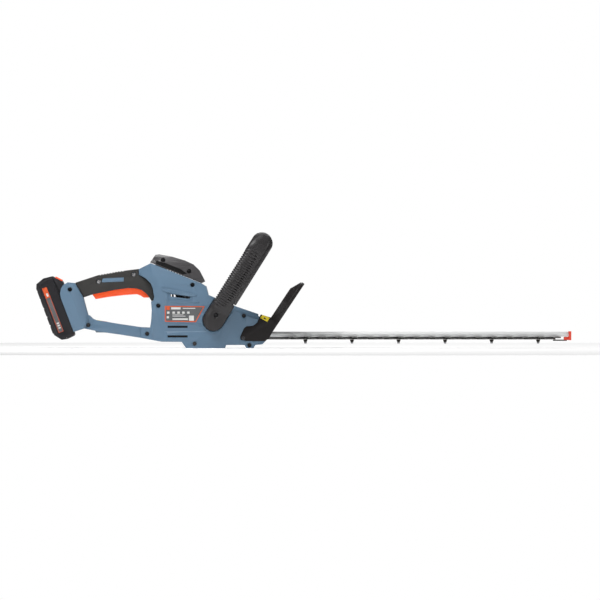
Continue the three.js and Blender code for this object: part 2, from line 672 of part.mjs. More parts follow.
// Open below, and high enough at the back for the squeezed trigger.
const triggerRoom = [
  [-213.5, 80], [-213.5, 110], [-207, 114.5], [-190, 117], [-166, 119.5], [-128, 122], [-116, 122.6],
  [-109.6, 118], [-104, 104.5], [-101.5, 98], [-101.5, 80],
];

// The hard core under the grip, its faces moved inwards by d. Its ends lie inside the dock and the body.
const coreTop = [[-262, 116], [-239.4, 121], [-196.7, 135.1], [-161.5, 141.5], [-123.2, 146.2], [-90, 150]];
const coreLow = [
  [-90, 98], [-99, 98], [-107, 106], [-115, 111.6], [-126.4, 113.4], [-142.5, 114.3], [-166.5, 110.5],
  [-190.6, 105.7], [-209.8, 101.8], [-228, 97.2], [-262, 97.2],
];
const coreOutline = (d) => inset([...coreTop.map(([x, z]) => [x, z - gripSkin]), ...coreLow], d);

function buildTrigger() {
  const pin = barrel(...triggerPivot, -60, 60, pivotPin + gap, 12);
  const lever = cut(side(triggerOutline, -triggerHalf, triggerHalf, 1.5), pin);
  trimmer.add(piece("trigger", lever, orangePlastic));

  const well = column(switchAt, 0, 0, 127.5, 2.5, 12);
  const block = cut(box(switchAt - 9, switchAt + 15, -7, 7, 121, 133), well);
  trimmer.add(piece("trigger_switch", block, blackPlastic));
  trimmer.add(piece("switch_plunger", column(switchAt, 0, 114.9, 124.5, 2, 12), redPlastic));

  const turns = 6;
  const low = 111.1;
  const high = 130.8;
  class Helix extends THREE.Curve {
    getPoint(t, target = new THREE.Vector3()) {
      const turn = t * turns * 2 * Math.PI;
      return target.set(3.6 * Math.cos(turn), 3.6 * Math.sin(turn), low + (high - low) * t);
    }
  }
  const wire = new THREE.Shape(arc(0, 0, 0.55, 0, 288, 4).map(([a, b]) => new THREE.Vector2(a, b)));
  const sweep = { steps: turns * 9, extrudePath: new Helix(), bevelEnabled: false };
  const coil = new THREE.ExtrudeGeometry(wire, sweep);
  trimmer.add(piece("trigger_spring", solid(coil).translate([-182, 0, 0]), springSteel));
}

// ---------- battery pack, in the dock's frame ----------
const packOutline = [
  [-packDeep + 0.5, 45.5], [-packDeep + 4, 53.5], [-packDeep + 20, 59], [-1, 57], [-1, -58], [-3, -60],
  [-17, -61], [-packDeep + 11, -59], [-packDeep - 0.5, -44],
];
const latchAt = [6.8, 49]; // the middle of the pack's slanted head
const latchTilt = 48; // its outward normal leans this far from +z towards +x
const latchTravel = 3;

function latchBox(x0, x1, y, z0, z1) {
  return placed(box(x0, x1, -y, y, z0, z1), latchAt, latchTilt);
}

function buildBattery() {
  const frame = groupAt(dockAt, dockTilt);
  const room = latchBox(-6.2, 9.6, 14.6, -4.6 - latchTravel, 20);
  const inner = inset(packOutline, packWall);
  const hollow = side(
    [...inner.slice(0, 3), [0.5, 54.6], [0.5, -56], ...inner.slice(6)],
    packWall - packHalf,
    packHalf - packWall,
  );
  const back = -packDeep - 1;
  const corner = packHalf - 7;
  const corners = plan([
    [back, -corner], [back, corner], [back + 8, packHalf], [1, packHalf], [1, -packHalf],
    [back + 8, -packHalf],
  ], -70, 70);
  const crown = packHalf - 6;
  const ends = front([
    [-packHalf, -56], [-packHalf, 53], [-crown, 60], [crown, 60], [packHalf, 53], [packHalf, -56],
    [crown, -62], [-crown, -62],
  ], -60, 20);
  const pack = side(packOutline, -packHalf, packHalf).intersect(corners).intersect(ends);
  frame.add(piece("battery_case", cut(pack, hollow, room), blackPlastic));

  const railTop = 13.4;
  const head = [[-0.6, railTop], [-0.6, 57], [tongueDeep - 0.5, 41.5], [tongueDeep - 0.5, railTop]];
  const contacts = [-12, 0, 12].map((y) => box(6, 20, y - 1.3, y + 1.3, -60, -6));
  const tongue = join(
    box(-0.6, 5, -neckHalf, neckHalf, -50, railTop + 1),
    box(4.6, tongueDeep - 0.5, -tongueHalf, tongueHalf, -50, railTop + 1),
    side(head, -tongueHalf, tongueHalf),
    box(-0.6, -0.2, -packHalf + 4, packHalf - 4, -55, 52),
  );
  frame.add(piece("battery_rail_cover", cut(tongue, ...contacts, room), blackPlastic));
  frame.add(piece("battery_latch", latchBox(-5.6, 9, 14, -4, 2.2), orangePlastic));

  const pitch = 2 * cellRadius + 0.8;
  const places = Array.from({ length: cellCount }, (_, i) => (i - (cellCount - 1) / 2) * pitch);
  const cells = places.map((z) => barrel(-packDeep / 2, z, -cellLength / 2, cellLength / 2, cellRadius, 16));
  const reach = places[cellCount - 1] + 4;
  const strips = [-1, 1].map((way) => {
    const y = (way * cellLength) / 2;
    return box(-packDeep / 2 - 4, -packDeep / 2 + 4, y - 0.3, y + 0.3, -reach, reach);
  });
  frame.add(piece("battery_cells", join(...cells, ...strips), cellWrap));
  trimmer.add(frame);
}

// ---------- housing ----------
function buildHousing(handleHole) {
  const dockWidth = packHalf + gap;
  // The dock narrows from the pack's width to the grip's. Its solid, with its faces moved inwards by d.
  const dockSolid = (d) => {
    const [half, neck] = [dockWidth - d, 20 - d];
    const taper = plan([
      [-4, -half], [-4, half], [20 - 0.4 * d, half], [40 - d, neck], [40 - d, -neck], [20 - 0.4 * d, -half],
    ], -70, 60);
    return side(inset(dockOutline, d), -half, half).intersect(taper);
  };
  const inDock = (made) => placed(made, dockAt, dockTilt);

  // The slide for the pack's rails, open at the mouth and at the top.
  const channel = inDock(join(
    box(-10, 4.3, -neckHalf - gap, neckHalf + gap, -50.5, 80),
    box(4.2, tongueDeep, -tongueHalf - gap, tongueHalf + gap, -50.5, 80),
    box(-10, tongueDeep, -tongueHalf - gap, tongueHalf + gap, 13.2, 80),
  ));

  // The body's solid, with its faces moved inwards by d.
  const bodySolid = (d) => cut(
    side(inset(bodyOutline, d), -bodyHalf, bodyHalf)
      .intersect(plan(inset(bodyPlan, d), -10, 200))
      .intersect(front(mirrored(bodyShoulder(d)), -140, 140)),
    noseCorner(d),
    flip(noseCorner(d)),
  );
  const outer = join(
    inDock(dockSolid(0)),
    bodySolid(0),
    side(strutOutline, -strutHalf, strutHalf),
    side(coreOutline(gap), -gripHalf + gripSkin + gap, gripHalf - gripSkin - gap),
  );
  const rooms = join(
    inDock(dockSolid(wall).intersect(box(tongueDeep + gap + wall, 60, -60, 60, -60, 60))),
    bodySolid(wall),
    side(inset(strutOutline, wall), -strutHalf + wall, strutHalf - wall),
    side(coreOutline(gap + wall), -gripHalf + gripSkin + gap + wall, gripHalf - gripSkin - gap - wall),
  );

  const sunk = (made) => join(made, flip(made));
  const legRoom = placed(side(capsule(1, 0, 40), pocketFloor, 90), handleFoot, handleTilt);
  const floorPlate = side(capsule(1 + wall, 0, 40), pocketFloor - wall, pocketFloor);
  const legFloor = placed(floorPlate, handleFoot, handleTilt);
  const cheekRoom = side(inset(hoodOutline, -gap), noseHalf, 90);
  const cheekFloor = side(inset(hoodOutline, -gap - wall), noseHalf - wall, noseHalf);
  const handleBoss = barrel(...handleHole, 16, pocketFloor - 1, bossRadius + 1, 16);
  const guardBoss = barrel(...guardScrewAt, 17, noseHalf - 1, bossRadius, 16);

  const ribs = join(...bosses([...bodyScrews, ...gripScrews]));
  const pin = barrel(...triggerPivot, -gripHalf + 4.5, gripHalf - 4.5, pivotPin, 12);
  const inside = join(ribs, sunk(join(legFloor, cheekFloor, handleBoss, guardBoss))).intersect(outer);
  const triggerSlot = side(triggerRoom, -triggerHalf - 0.8, triggerHalf + 0.8);
  const ventSlots = [39.4, 21.7].map((z) => box(-69, -32, -90, 90, z - 2, z + 2));
  const windowSlot = side([[-64.5, 95.3], [-64.5, 99.6], [-28.3, 95.2], [-28.3, 90.9]], -90, 90);
  const shell = cut(
    join(cut(outer, sunk(legRoom), sunk(cheekRoom), rooms), inside),
    channel,
    bladeDoor,
    triggerSlot,
    ...ventSlots,
    windowSlot,
    ...screwHoles([...bodyScrews, ...gripScrews]),
    sunk(barrel(...handleHole, 10, 90, bossHole, 12)),
    sunk(barrel(...guardScrewAt, 10, 90, bossHole, 12)),
    inDock(box(tongueDeep - 2, tongueDeep + wall + 2, -17, 17, -38, -8)),
  );
  trimmer.add(piece("housing_left", leftOf(join(shell, pin)), bluePlastic));
  trimmer.add(piece("housing_right", rightOf(join(shell, pin)), bluePlastic));

  const skin = cut(
    side(gripOutline, -gripHalf, gripHalf),
    side(coreOutline(0), -gripHalf + gripSkin, gripHalf - gripSkin),
    triggerSlot,
    inDock(dockSolid(-gap)),
    ...screwHoles(gripScrews),
  );
  trimmer.add(piece("rear_grip_left", leftOf(skin), softGrip));
  trimmer.add(piece("rear_grip_right", rightOf(skin), softGrip));

  const crowned = (outline, d) =>
    side(outline, d - coverHalf, coverHalf - d).intersect(front(mirrored(coverCrown(d)), -120, 20));
  const lidSolid = crowned(coverOutline, 0);
  const lid = cut(lidSolid, crowned(coverRoom, wall));
  const slit = side([
    [-91, 160.4], [-86, 161.8], [-46, 146.4], [-33, 137.2], [-41, 136], [-91, 155.6],
  ], -60, 60);
  const coverPosts = join(...bosses(coverScrews)).intersect(lidSolid);
  const cover = cut(join(cut(lid, slit), coverPosts), ...screwHoles(coverScrews));
  trimmer.add(piece("top_cover_left", leftOf(cover), blackPlastic));
  trimmer.add(piece("top_cover_right", rightOf(cover), blackPlastic));
}

// ---------- electrics ----------
function buildElectrics() {
  const frame = groupAt(dockAt, dockTilt);
  const block = join(
    box(tongueDeep + gap + 0.2, tongueDeep + 8, -16, 16, -37, -9),
    ...[-12, 0, 12].map((y) => box(8, tongueDeep + 2, y - 0.6, y + 0.6, -34, -12)),
  );
  frame.add(piece("terminal_block", block, blackPlastic));
  trimmer.add(frame);
  const board = join(
    box(-78, -76.4, -25, 25, 46, 100),
    column(-71, 12, 60, 74, 4.6, 12),
    box(-76.5, -72, -18, -4, 58, 66),
    box(-76.5, -73.4, -20, 0, 76, 92),
    box(-76.5, -66.2, 10, 14, 66, 68),
  );
  trimmer.add(piece("control_board", board, boardGreen));
}

buildDrive();
buildBlades();
const handleHole = buildHandle();
buildGuard();
buildTrigger();
buildBattery();
buildHousing(handleHole);
buildElectrics();
addScrews("body_screw_", bodyScrews);
addScrews("grip_screw_", gripScrews);
addScrews("cover_screw_", coverScrews);

// The origin is the bottom centre of the finished part's box.
trimmer.updateMatrixWorld(true);
const whole = new THREE.Box3().setFromObject(trimmer, true);
trimmer.position.x = -(whole.min.x + whole.max.x) / 2;

export default trimmer;
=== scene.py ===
import json
import math

import bmesh
import bpy
from mathutils import Matrix, Vector

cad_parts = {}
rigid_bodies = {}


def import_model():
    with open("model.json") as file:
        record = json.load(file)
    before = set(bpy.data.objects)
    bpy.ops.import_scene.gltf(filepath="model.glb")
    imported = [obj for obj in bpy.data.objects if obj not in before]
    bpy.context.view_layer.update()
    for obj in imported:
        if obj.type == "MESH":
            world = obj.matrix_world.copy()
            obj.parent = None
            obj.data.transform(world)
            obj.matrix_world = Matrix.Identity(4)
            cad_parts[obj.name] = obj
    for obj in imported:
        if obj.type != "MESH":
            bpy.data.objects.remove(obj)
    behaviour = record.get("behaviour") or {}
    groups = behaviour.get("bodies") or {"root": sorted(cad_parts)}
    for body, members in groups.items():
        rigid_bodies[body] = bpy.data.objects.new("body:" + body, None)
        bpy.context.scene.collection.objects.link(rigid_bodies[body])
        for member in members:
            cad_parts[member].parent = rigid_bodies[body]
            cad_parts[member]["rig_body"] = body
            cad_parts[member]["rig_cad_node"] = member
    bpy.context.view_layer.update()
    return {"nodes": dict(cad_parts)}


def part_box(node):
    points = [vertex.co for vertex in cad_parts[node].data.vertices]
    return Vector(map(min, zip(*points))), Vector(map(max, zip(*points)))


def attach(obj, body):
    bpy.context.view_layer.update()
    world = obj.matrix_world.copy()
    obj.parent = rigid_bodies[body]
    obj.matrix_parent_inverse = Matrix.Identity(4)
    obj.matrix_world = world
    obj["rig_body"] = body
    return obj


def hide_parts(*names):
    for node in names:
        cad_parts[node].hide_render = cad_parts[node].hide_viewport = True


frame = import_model()
print("loaded", len(frame["nodes"]), "CAD nodes")

mm = 0.001
gearLow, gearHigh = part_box("gear_shaft")
# the drive gear's axis, from which every place along the tool counts
gearX = (gearLow.x + gearHigh.x) / 2
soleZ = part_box("housing_left")[0].z
bodyHalf = -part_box("housing_left")[0].y  # half the housing's width


def at(x, y, z):  # a place in millimetres: along the tool from the gear's axis, across it, above the sole
    return Vector((gearX + x * mm, y * mm, soleZ + z * mm))


def leaning(x, z, degrees):  # the frame of a tilted part: its origin in the side view, turned about Y
    return Matrix.Translation(at(x, 0, z)) @ Matrix.Rotation(math.radians(degrees), 4, "Y")


handleFrame = leaning(15.6, 51.2, 32)
dockFrame = leaning(-261.2, 79.7, -21)


# shader maths
class Wire:  # a socket that takes part in Python expressions
    def __init__(self, finish, socket):
        self.finish = finish
        self.socket = socket

    def maths(self, operation, first, second=None):
        values = [first] if second is None else [first, second]
        return self.finish.node("ShaderNodeMath", {"operation": operation}, *values)

    def __add__(self, other):
        return self.maths("ADD", self, other)

    def __radd__(self, other):
        return self.maths("ADD", other, self)

    def __rsub__(self, other):
        return self.maths("SUBTRACT", other, self)

    def __mul__(self, other):
        return self.maths("MULTIPLY", self, other)

    def __gt__(self, other):
        return self.maths("GREATER_THAN", self, other)

    def __lt__(self, other):
        return self.maths("LESS_THAN", self, other)

    def __abs__(self):
        return self.maths("ABSOLUTE", self)


class Finish:  # one procedural material
    def __init__(self, name):
        self.material = bpy.data.materials.new(name)
        self.material.use_nodes = True
        self.tree = self.material.node_tree
        self.shader = next(n for n in self.tree.nodes if n.type == "BSDF_PRINCIPLED")

    def node(self, kind, settings, *values, output=0, **named):
        made = self.tree.nodes.new(kind)
        for key, setting in settings.items():
            setattr(made, key, setting)
        fed = dict(enumerate(values))
        fed.update({key.replace("_", " "): value for key, value in named.items()})
        for place, value in fed.items():
            self.feed(made.inputs[place], value)
        return Wire(self, made.outputs[output])

    def feed(self, socket, value):
        if isinstance(value, Wire):
            self.tree.links.new(value.socket, socket)
        else:
            socket.default_value = value

    def coords(self):
        return self.node("ShaderNodeTexCoord", {}, output="Object")

    def split(self, vector):
        parts = vector.finish.node("ShaderNodeSeparateXYZ", {}, vector).socket.node.outputs
        return [Wire(self, part) for part in parts]

    def noise(self, scale, detail=3, roughness=0.5, stretch=(1, 1, 1)):
        place = self.node("ShaderNodeMapping", {}, self.coords(), Scale=stretch)
        fed = {"Vector": place, "Scale": scale, "Detail": detail, "Roughness": roughness}
        return self.node("ShaderNodeTexNoise", {}, **fed)

    def between(self, factor, first, second):  # a colour between two colours
        mix = self.node("ShaderNodeMix", {"data_type": "RGBA"}, factor, output=2)
        self.feed(mix.socket.node.inputs[6], first)
        self.feed(mix.socket.node.inputs[7], second)
        return mix

    def bump(self, height, strength, distance):
        return self.node("ShaderNodeBump", {}, Strength=strength, Distance=distance, Height=height)

    def surface(self, **named):
        for key, value in named.items():
            self.feed(self.shader.inputs[key.replace("_", " ")], value)
        return self.material


def linear(red, green, blue):  # a screen colour from 0 to 255 as the shader's colour
    def channel(value):
        value = value / 255
        return value / 12.92 if value <= 0.04045 else ((value + 0.055) / 1.055) ** 2.4

    return (channel(red), channel(green), channel(blue), 1)


# finishes
def plastic(name, color, shade, roughness, grain=0.25, painted_glow=0, specular=0.5):
    # moulded plastic with a fine spark-eroded grain; painted_glow is painted light: the part emits light in its
    # own colour, so it looks brighter than the lamps make it
    finish = Finish(name)
    cloudy = finish.noise(14, 4)
    fine = finish.noise(1500, 2, 0.6)
    mottled = finish.between(cloudy * 0.8 + 0.1, linear(*shade), linear(*color))
    worn = roughness - 0.05 + cloudy * 0.08 + fine * 0.06
    scuffs = finish.noise(120, 6, 0.7, (1, 1, 3))
    normal = finish.bump(fine + scuffs * 0.15, grain, 0.0004)
    # painted glow: emission in the plastic's own colour stands in for more light falling on it
    finish.surface(Emission_Color=mottled, Emission_Strength=painted_glow, Specular_IOR_Level=specular)
    return finish.surface(Base_Color=mottled, Roughness=worn, Normal=normal)


def softTouch(name, color, shade, roughness, dots=1100):  # overmoulded elastomer with a pebbled skin
    finish = Finish(name)
    cells = {"feature": "SMOOTH_F1"}
    pebble = finish.node("ShaderNodeTexVoronoi", cells, Vector=finish.coords(), Scale=dots)
    cloudy = finish.noise(22, 4)
    mottled = finish.between(cloudy, linear(*shade), linear(*color))
    normal = finish.bump(pebble, 0.1, 0.0003)
    worn = roughness + cloudy * 0.14
    return finish.surface(Base_Color=mottled, Roughness=worn, Normal=normal, Specular_IOR_Level=0.4)


def brushed(name, color, shade, roughness, stretch, depth=0.12, lines=900, metal=1.0):
    # metal with fine lines along one way
    finish = Finish(name)
    streaks = finish.noise(lines, 3, 0.6, stretch)
    stains = finish.noise(25, 4, 0.6)
    tone = finish.between(streaks * 0.7 + stains * 0.3, linear(*shade), linear(*color))
    normal = finish.bump(streaks, depth, 0.0003)
    worn = roughness + streaks * 0.1
    return finish.surface(Base_Color=tone, Roughness=worn, Metallic=metal, Normal=normal)


def castAlloy(name):  # a grainy grey casting
    finish = Finish(name)
    grit = finish.noise(600, 4, 0.7)
    tone = finish.between(finish.noise(30), linear(120, 122, 125), linear(160, 162, 165))
    normal = finish.bump(grit, 0.3, 0.0006)
    return finish.surface(Base_Color=tone, Roughness=0.42 + grit * 0.2, Metallic=1.0, Normal=normal)


def bladeSteel(name):  # blackened flats, and ground edges that face neither up nor down
    finish = Finish(name)
    facing = finish.node("ShaderNodeTexCoord", {}, output="Normal")
    upright = abs(finish.split(facing)[2])
    tooth = abs(finish.split(finish.coords())[1]) > 0.0118  # clear of the blade's spine
    ground = (upright < 0.93) * (upright > 0.2) * tooth
    streaks = finish.noise(700, 3, 0.6, (1, 6, 1))
    black = finish.between(streaks, linear(14, 13, 12), linear(36, 34, 32))
    bright = finish.between(streaks, linear(150, 150, 148), linear(214, 214, 210))
    tone = finish.between(ground, black, bright)
    normal = finish.bump(streaks, 0.15, 0.0003)
    worn, metal = 0.42 - ground * 0.12, 0.3 + ground * 0.5
    return finish.surface(Base_Color=tone, Roughness=worn, Metallic=metal, Normal=normal)


def circuitBoard(name):  # green lacquer over paler tracks
    finish = Finish(name)
    cells = {"distance": "CHEBYCHEV"}
    tracks = finish.node("ShaderNodeTexVoronoi", cells, Vector=finish.coords(), Scale=260)
    tone = finish.between(tracks > 0.45, linear(24, 84, 52), linear(40, 116, 70))
    normal = finish.bump(tracks, 0.2, 0.0002)
    return finish.surface(Base_Color=tone, Roughness=0.35 + tracks * 0.2, Normal=normal)


def printed(name, color, gloss=0.35):  # a printed film: one ink, with the film's slight waviness
    finish = Finish(name)
    waves = finish.noise(60, 2)
    shade = tuple(value * 0.86 for value in color)
    tone = finish.between(waves, linear(*shade), linear(*color))
    normal = finish.bump(waves, 0.1, 0.0005)
    return finish.surface(Base_Color=tone, Roughness=gloss + waves * 0.1, Normal=normal)


finishes = {
    "blue": plastic("blue_housing", (98, 125, 148), (85, 112, 135), 0.42),
    "cover": plastic("cover_plastic", (70, 68, 70), (58, 56, 58), 0.4),
    "guard": plastic("guard_plastic", (35, 31, 31), (26, 23, 23), 0.42, specular=0.25),
    "battery": plastic("battery_plastic", (34, 33, 37), (25, 24, 27), 0.4, specular=0.3),
    "dark": plastic("dark_plastic", (26, 25, 26), (18, 18, 19), 0.5, specular=0.25),
    "lever": plastic("lever_plastic", (44, 42, 43), (34, 32, 33), 0.3),
    "handle": softTouch("handle_grip", (50, 48, 49), (36, 34, 35), 0.38, 1000),
    "grip": softTouch("rear_grip", (52, 51, 49), (40, 39, 38), 0.5),
    # the orange and red parts carry a painted glow that brightens them as if lit more strongly
    "orange": plastic("orange_plastic", (250, 84, 16), (240, 74, 10), 0.36, painted_glow=0.32),
    "red": plastic("red_plastic", (226, 74, 50), (210, 62, 42), 0.4, painted_glow=0.25),
    "grey": plastic("grey_pad", (120, 134, 146), (104, 118, 130), 0.5),
    "bar": brushed("bar_aluminium", (246, 247, 246), (232, 234, 234), 0.34, (0.02, 1, 1), metal=0.05),
    "blade": bladeSteel("blade_steel"),
    "screw": brushed("screw_steel", (96, 96, 98), (60, 60, 62), 0.3, (1, 1, 1), 0.1, 500),
    "brightScrew": brushed("bright_screw", (190, 190, 192), (130, 130, 132), 0.22, (1, 1, 1), 0.1, 500),
    "nut": brushed("blackened_steel", (66, 62, 58), (36, 34, 32), 0.35, (1, 1, 1), 0.1, 500),
    "steel": brushed("machined_steel", (176, 177, 179), (140, 141, 143), 0.25, (1, 1, 6), 0.1),
    "cast": castAlloy("cast_alloy"),
    "board": circuitBoard("circuit_board"),
    "cells": plastic("cell_wrap", (70, 146, 104), (54, 122, 86), 0.35, 0.1),
    "labelGrey": printed("label_grey", (98, 100, 102)),
    "labelOrange": printed("label_orange", (226, 92, 44)),
    "labelWhite": printed("label_white", (226, 226, 224)),
    "labelYellow": printed("label_yellow", (246, 220, 24)),
    "labelPink": printed("label_pink", (214, 120, 124)),
    "labelDark": printed("label_dark", (44, 42, 42)),
}
print("made", len(finishes), "finishes")


# modelling helpers
def deselectAll():
    bpy.ops.object.select_all(action="DESELECT")


def activate(piece):
    deselectAll()
    piece.select_set(True)
    bpy.context.view_layer.objects.active = piece


def named(name):
    piece = bpy.context.object
    piece.name = name
    piece.data.name = name
    return piece


def editing(piece, mode="EDGE"):
    activate(piece)
    bpy.ops.object.mode_set(mode="EDIT")
    bpy.ops.mesh.select_mode(type=mode)
    return bmesh.from_edit_mesh(piece.data)


def doneEditing():
    bpy.ops.object.mode_set(mode="OBJECT")


def modify(piece, kind, **settings):  # adds one modifier and applies it
    activate(piece)
    modifier = piece.modifiers.new(kind.title(), kind)
    for key, setting in settings.items():
        setattr(modifier, key, setting)
    bpy.ops.object.modifier_apply(modifier=modifier.name)


def moveMesh(piece, matrix):  # turns and moves the mesh, and leaves the object at the origin
    activate(piece)
    piece.matrix_world = matrix
    bpy.ops.object.transform_apply(location=True, rotation=True, scale=True)


def copyNode(node, name):  # the CAD node as a merged mesh with clean flat faces
    source = frame["nodes"][node]
    activate(source)
    bpy.ops.object.duplicate()
    piece = named(name)
    piece.parent = None
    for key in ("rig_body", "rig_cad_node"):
        if key in piece:
            del piece[key]
    piece.data.materials.clear()
    editing(piece)
    bpy.ops.mesh.select_all(action="SELECT")
    bpy.ops.mesh.remove_doubles(threshold=0.02 * mm)
    bpy.ops.mesh.dissolve_limited(angle_limit=math.radians(0.5))
    doneEditing()
    return piece


def softenEdges(piece, width, segments=2, wanted=None, sharp=28, shortest=1.6):
    # bevels the sharp edges that are long enough and, if asked, in the wanted place
    mesh = editing(piece)
    mesh.normal_update()
    short = shortest * width * mm
    tight = {v for e in mesh.edges if e.calc_length() < short for v in e.verts}
    for edge in mesh.edges:
        fits = len(edge.link_faces) == 2 and edge.calc_face_angle(0) > math.radians(sharp)
        fits = fits and not (edge.verts[0] in tight or edge.verts[1] in tight)
        edge.select = fits and (wanted is None or wanted(edge))
    mesh.select_flush_mode()
    chosen = sum(edge.select for edge in mesh.edges)
    bmesh.update_edit_mesh(piece.data)
    if chosen:
        bpy.ops.mesh.bevel(offset=width * mm, segments=segments, profile=0.5, clamp_overlap=True)
    doneEditing()


def smooth(piece, degrees=40):
    activate(piece)
    bpy.ops.object.shade_smooth_by_angle(angle=math.radians(degrees))


def plate(name, outline, near, far, place=None):
    # a flat outline of (x, z) points in millimetres, drawn out from y = near to y = far
    deselectAll()
    bpy.ops.mesh.primitive_circle_add(vertices=len(outline), fill_type="NGON")
    piece = named(name)
    for vertex, (x, z) in zip(piece.data.vertices, outline):
        vertex.co = Vector((x * mm, near * mm, z * mm))
    editing(piece, "FACE")
    bpy.ops.mesh.select_all(action="SELECT")
    bpy.ops.mesh.extrude_region_move(TRANSFORM_OT_translate={"value": (0, (far - near) * mm, 0)})
    bpy.ops.mesh.select_all(action="SELECT")
    bpy.ops.mesh.normals_make_consistent(inside=False)
    doneEditing()
    moveMesh(piece, place or Matrix.Translation(at(0, 0, 0)))
    return piece


def block(name, corner, opposite, place=None):  # a box between two opposite corners in millimetres
    deselectAll()
    middle = [(a + b) / 2 * mm for a, b in zip(corner, opposite)]
    size = [abs(b - a) * mm for a, b in zip(corner, opposite)]
    bpy.ops.mesh.primitive_cube_add(size=1, location=middle, scale=size)
    piece = named(name)
    bpy.ops.object.transform_apply(location=True, rotation=True, scale=True)
    moveMesh(piece, place or Matrix.Translation(at(0, 0, 0)))
    return piece


def rod(name, x, z, near, far, radius, sides=24, place=None):  # a cylinder across the tool
    deselectAll()
    bpy.ops.mesh.primitive_cylinder_add(
        vertices=sides, radius=radius * mm, depth=abs(far - near) * mm,
        location=(x * mm, (near + far) / 2 * mm, z * mm), rotation=(math.pi / 2, 0, 0),
    )
    piece = named(name)
    bpy.ops.object.transform_apply(location=True, rotation=True, scale=True)
    moveMesh(piece, place or Matrix.Translation(at(0, 0, 0)))
    return piece


def shape(piece, tool, operation="DIFFERENCE", solver="EXACT"):
    # cuts the tool out of the piece, joins it on, or keeps what they share
    modify(piece, "BOOLEAN", operation=operation, object=tool, solver=solver)
    bpy.data.objects.remove(tool, do_unlink=True)


def atDepth(depth, near=0.01):  # picks the edges at one distance across the tool, in millimetres
    return lambda edge: all(abs(v.co.y / mm - depth) < near for v in edge.verts)


def joinAll(name, pieces):
    deselectAll()
    for piece in pieces:
        piece.select_set(True)
    bpy.context.view_layer.objects.active = pieces[0]
    bpy.ops.object.join()
    return named(name)


def place(piece, body, finish, slot, *nodes):
    piece.data.materials.clear()
    piece.data.materials.append(finishes[finish])
    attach(piece, body)
    if nodes:
        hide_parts(*nodes)
    return piece


sides = {"left": -1, "right": 1}  # the left half is the one at negative Y


# housing
housingShape = {
    "edgeRound": 3.6,
    "openingRound": 4,
    "strutHalf": 17,
    "strutRound": 3.6,
    "dockHalf": 37.9,
    "dockRound": 3.2,
    "fineRound": 0.7,
    "channel": [(-91, 46.2), (9, 46.2), (2, 30), (-91, 30)],
    "window": [(-68.6, 101.4), (-22.7, 94), (-22.7, 88), (-68.6, 88)],
    "crease": [(-71, 128.6), (-14, 111), (-16, 107.2), (-34, 111)],
    "brow": [(-80, 111.5), (-17, 99.6), (-15, 96.8), (-24, 94.6), (-70, 102.6), (-79, 106.8)],
    "ledge": [(-69, 86.6), (-10, 86.6), (-12, 83.4), (-66, 83.4)],
    "raised": 1.1,
    "label": [(-74.6, 78.6), (0.6, 77.8), (-16.6, 47.3), (-74.6, 48.2)],
    # how deep each hollow is, and how wide the slope round its floor
    "hollows": {"channel": (1.3, 1.2), "window": (1.4, 0.4), "crease": (0.9, 0.8), "label": (0.5, 0.2)},
    # the raised rim round the handle's foot: inner and outer radius, and its length
    "rim": (20.7, 23, 62),
    "rimRaised": 0.9,
}


screwPlaces = [sum(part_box(name), Vector()) / 2 for name in frame["nodes"] if "screw" in name]


def atSide(half, farthest=200):  # picks the edges of one flat side, but not those round a screw
    def fits(edge):
        middle = (edge.verts[0].co + edge.verts[1].co) / 2
        flat = all(abs(abs(v.co.y) - half) < 0.3 * mm for v in edge.verts)
        clear = all(math.hypot(middle.x - spot.x, middle.z - spot.z) > 7.5 * mm for spot in screwPlaces)
        return flat and clear and middle.x < gearX + farthest * mm

    return fits


def capsule(radius, length):  # the outline of a round foot and its straight leg
    arc = [math.radians(180 + 180 * n / 24) for n in range(25)]
    foot = [(radius * math.cos(a), radius * math.sin(a)) for a in arc]
    return foot + [(radius, length), (-radius, length)]


def footRim(side, way):  # follows the housing's own side, a little proud of it
    inner, outer, length = housingShape["rim"]
    ring = plate("ring", capsule(outer, length), 0, way * 60, handleFrame)
    shape(ring, plate("core", capsule(inner, length + 5), -way * 5, way * 65, handleFrame))
    rim = copyNode(f"housing_{side}", "rim")
    moveMesh(rim, Matrix.Translation((0, way * housingShape["rimRaised"] * mm, 0)))
    shape(rim, ring, "INTERSECT")
    softenEdges(rim, 0.4, 2, lambda e: min(abs(v.co.y) for v in e.verts) > 0.03, sharp=50)
    return rim


def buildHousing(side, way):
    s = housingShape
    piece = copyNode(f"housing_{side}", f"housing_shell_{side}")
    flat = way * bodyHalf / mm

    def longSide(edge):
        return atSide(bodyHalf)(edge) and edge.calc_length() > 6 * mm

    softenEdges(piece, s["openingRound"], 4, atSide(bodyHalf, -82), shortest=0)
    softenEdges(piece, s["strutRound"], 4, atSide(s["strutHalf"] * mm), shortest=0)
    softenEdges(piece, s["dockRound"], 4, atSide(s["dockHalf"] * mm), shortest=0)
    softenEdges(piece, s["edgeRound"], 4, longSide, shortest=1.0)

    for key, (deep, slope) in s["hollows"].items():
        floor = flat - way * deep
        tool = plate(key, s[key], flat + way * 3, floor)
        softenEdges(tool, slope, 1, atDepth(floor))
        shape(piece, tool)
    for key in ("brow", "ledge"):
        ridge = flat + way * s["raised"]
        tool = plate(key, s[key], flat - way * 1.5, ridge)
        softenEdges(tool, 0.9, 3, atDepth(ridge))
        shape(piece, tool, "UNION")
    softenEdges(piece, s["fineRound"], 2, sharp=35)
    shape(piece, footRim(side, way), "UNION")
    smooth(piece, 32)
    return place(piece, "tool", "blue", "blue_plastic", f"housing_{side}")


